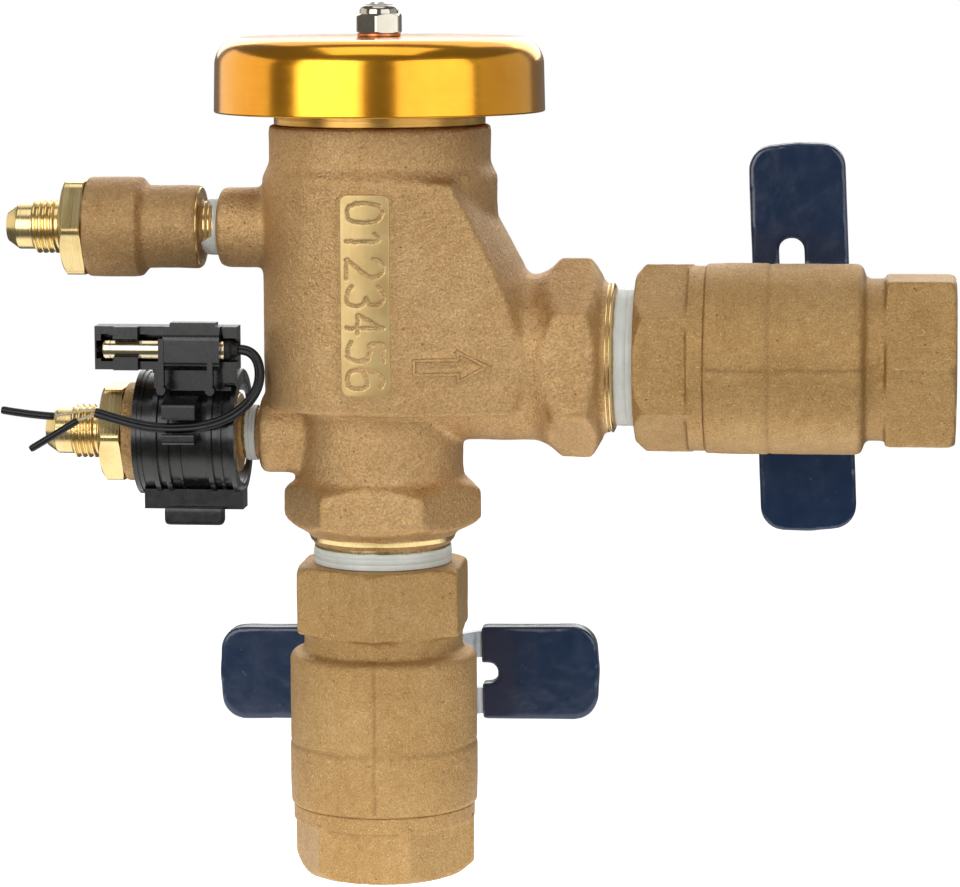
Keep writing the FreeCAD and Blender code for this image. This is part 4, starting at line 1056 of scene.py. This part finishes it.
def sensor():
    bevelled("clamp_front", 0.12)
    skin("clamp_back", 0.3, 2, NYLON, "clamp_back", shape=raise_tab)
    bevelled("sensor_retainer", 0.12)
    can = lathe("can", [(0.01, 0), (2.43, 0, 0.6), (2.43, 1.6, 0.1), (2.38, 1.7, 0.1), (2.43, 1.8, 0.1),
                        (2.43, 25.3, 0.3), (0.01, 25.3)], spot(-56.0, -10.2, 109.7) @ TO_RIGHT, 96)
    place_piece("sensor_capsule_can", can, CAPSULE, "body", ["sensor_capsule"])
    boot = lathe("boot", [(0.01, 0), (2.2, 0), (2.2, 0.9, 0.3), (1.5, 1.5, 0.3), (1.25, 2.6, 0.2),
                          (0.01, 2.6)], spot(-30.7, -10.2, 109.7) @ TO_RIGHT, 64)
    place_piece("lead_boot_plug", boot, RUBBER, "body", ["lead_boot"])
    sensor_lead()


# ---------------------------------------------------------------- stage
FLOOR_Z = -0.0095             # clear of the inlet handle when it is open
FLOOR_RADIUS = 0.75


def make_floor():
    """Round pale floor, white to the camera, with a painted pool of light round the object that glows onto it
    from below and darker floor further out; past its edge the white surroundings take over.
    """
    count = 96
    angles = [2 * math.pi * k / count for k in range(count)]
    ring = [(FLOOR_RADIUS * math.cos(angle), FLOOR_RADIUS * math.sin(angle), 0) for angle in angles]
    mesh = bpy.data.meshes.new("floor")
    mesh.from_pydata(ring, [], [tuple(range(count))])
    floor = bpy.data.objects.new("floor", mesh)
    floor.location.z = FLOOR_Z
    scene.collection.objects.link(floor)
    s = Shader("floor")
    reach = s.add("ShaderNodeVectorMath", operation="LENGTH")
    s.join(s.stretched((1.0, 2.0, 1.0)), reach.inputs[0])
    # painted pool of light: round the object the floor glows and is pale, further out it is dark; to the
    # camera it glows white everywhere
    near = s.ramp(reach.outputs["Value"], [(0.16, 1.0), (0.27, 0.0)])
    seen = s.add("ShaderNodeLightPath").outputs["Is Camera Ray"]
    pale = s.ramp(s.noise(3.0), [(0.3, 0.5), (0.7, 0.53)])
    s.set(Base_Color=s.mix(near, (0.1, 0.1, 0.1), pale), Roughness=0.8, Emission_Color=(1, 1, 1, 1))
    s.set(Emission_Strength=s.math("MAXIMUM", seen, near))
    mesh.materials.append(s.material)


def panel(name, azimuth, distance, height, width, tall, power, aim, colour=(1.0, 1.0, 1.0)):
    """Rectangular soft light at an azimuth measured from the front, towards the right."""
    data = bpy.data.lights.new(name, "AREA")
    data.shape = "RECTANGLE"
    data.size = width
    data.size_y = tall
    data.energy = power
    data.color = colour
    lamp = bpy.data.objects.new(name, data)
    lamp.visible_camera = False
    a = math.radians(azimuth)
    lamp.location = (math.sin(a) * distance, -math.cos(a) * distance, height)
    towards = Vector((0, 0, aim)) - lamp.location
    lamp.rotation_mode = "QUATERNION"
    lamp.rotation_quaternion = towards.to_track_quat("-Z", "Y")
    scene.collection.objects.link(lamp)


def make_lights():
    """Two soft boxes in front with a dark gap between them, one at each side, two behind, one overhead."""
    panel("front_left", -28.0, 1.05, 0.42, 0.90, 0.84, 6.5, 0.42)
    panel("front_right", 46.5, 1.05, 0.42, 1.10, 0.84, 4.7, 0.42)
    panel("side_left", -105.0, 1.2, 0.4, 1.5, 0.8, 3.4, 0.4, (1.0, 0.92, 0.78))
    panel("side_right", 108.0, 1.2, 0.4, 1.3, 0.8, 1.2, 0.4)
    panel("back", 180.0, 1.2, 0.62, 1.5, 0.7, 6.0, 0.4)
    panel("top_back", 180.0, 0.9, 1.15, 1.4, 0.8, 3.6, 0.17)
    panel("overhead", 0.0, 0.25, 1.3, 1.0, 0.8, 3.2, 0.0)

    world = bpy.data.worlds.new("studio")
    scene.world = world
    world.use_nodes = True
    tree = world.node_tree
    tree.nodes.clear()
    output = tree.nodes.new("ShaderNodeOutputWorld")
    seen = tree.nodes.new("ShaderNodeBackground")
    seen.inputs["Color"].default_value = (1, 1, 1, 1)
    seen.inputs["Strength"].default_value = 1.0
    felt = tree.nodes.new("ShaderNodeBackground")
    felt.inputs["Color"].default_value = (1.0, 0.98, 0.95, 1)
    felt.inputs["Strength"].default_value = 0.17
    ray = tree.nodes.new("ShaderNodeLightPath")
    pick = tree.nodes.new("ShaderNodeMixShader")
    tree.links.new(ray.outputs["Is Camera Ray"], pick.inputs[0])
    tree.links.new(felt.outputs[0], pick.inputs[1])
    tree.links.new(seen.outputs[0], pick.inputs[2])
    tree.links.new(pick.outputs[0], output.inputs["Surface"])


sensor()
body_parts()
ball_valves()
valve_tapes()
bonnet_and_canopy()
spring_coils()
test_cocks()
make_floor()
make_lights()
scene.view_settings.view_transform = "Standard"
scene.view_settings.look = "None"
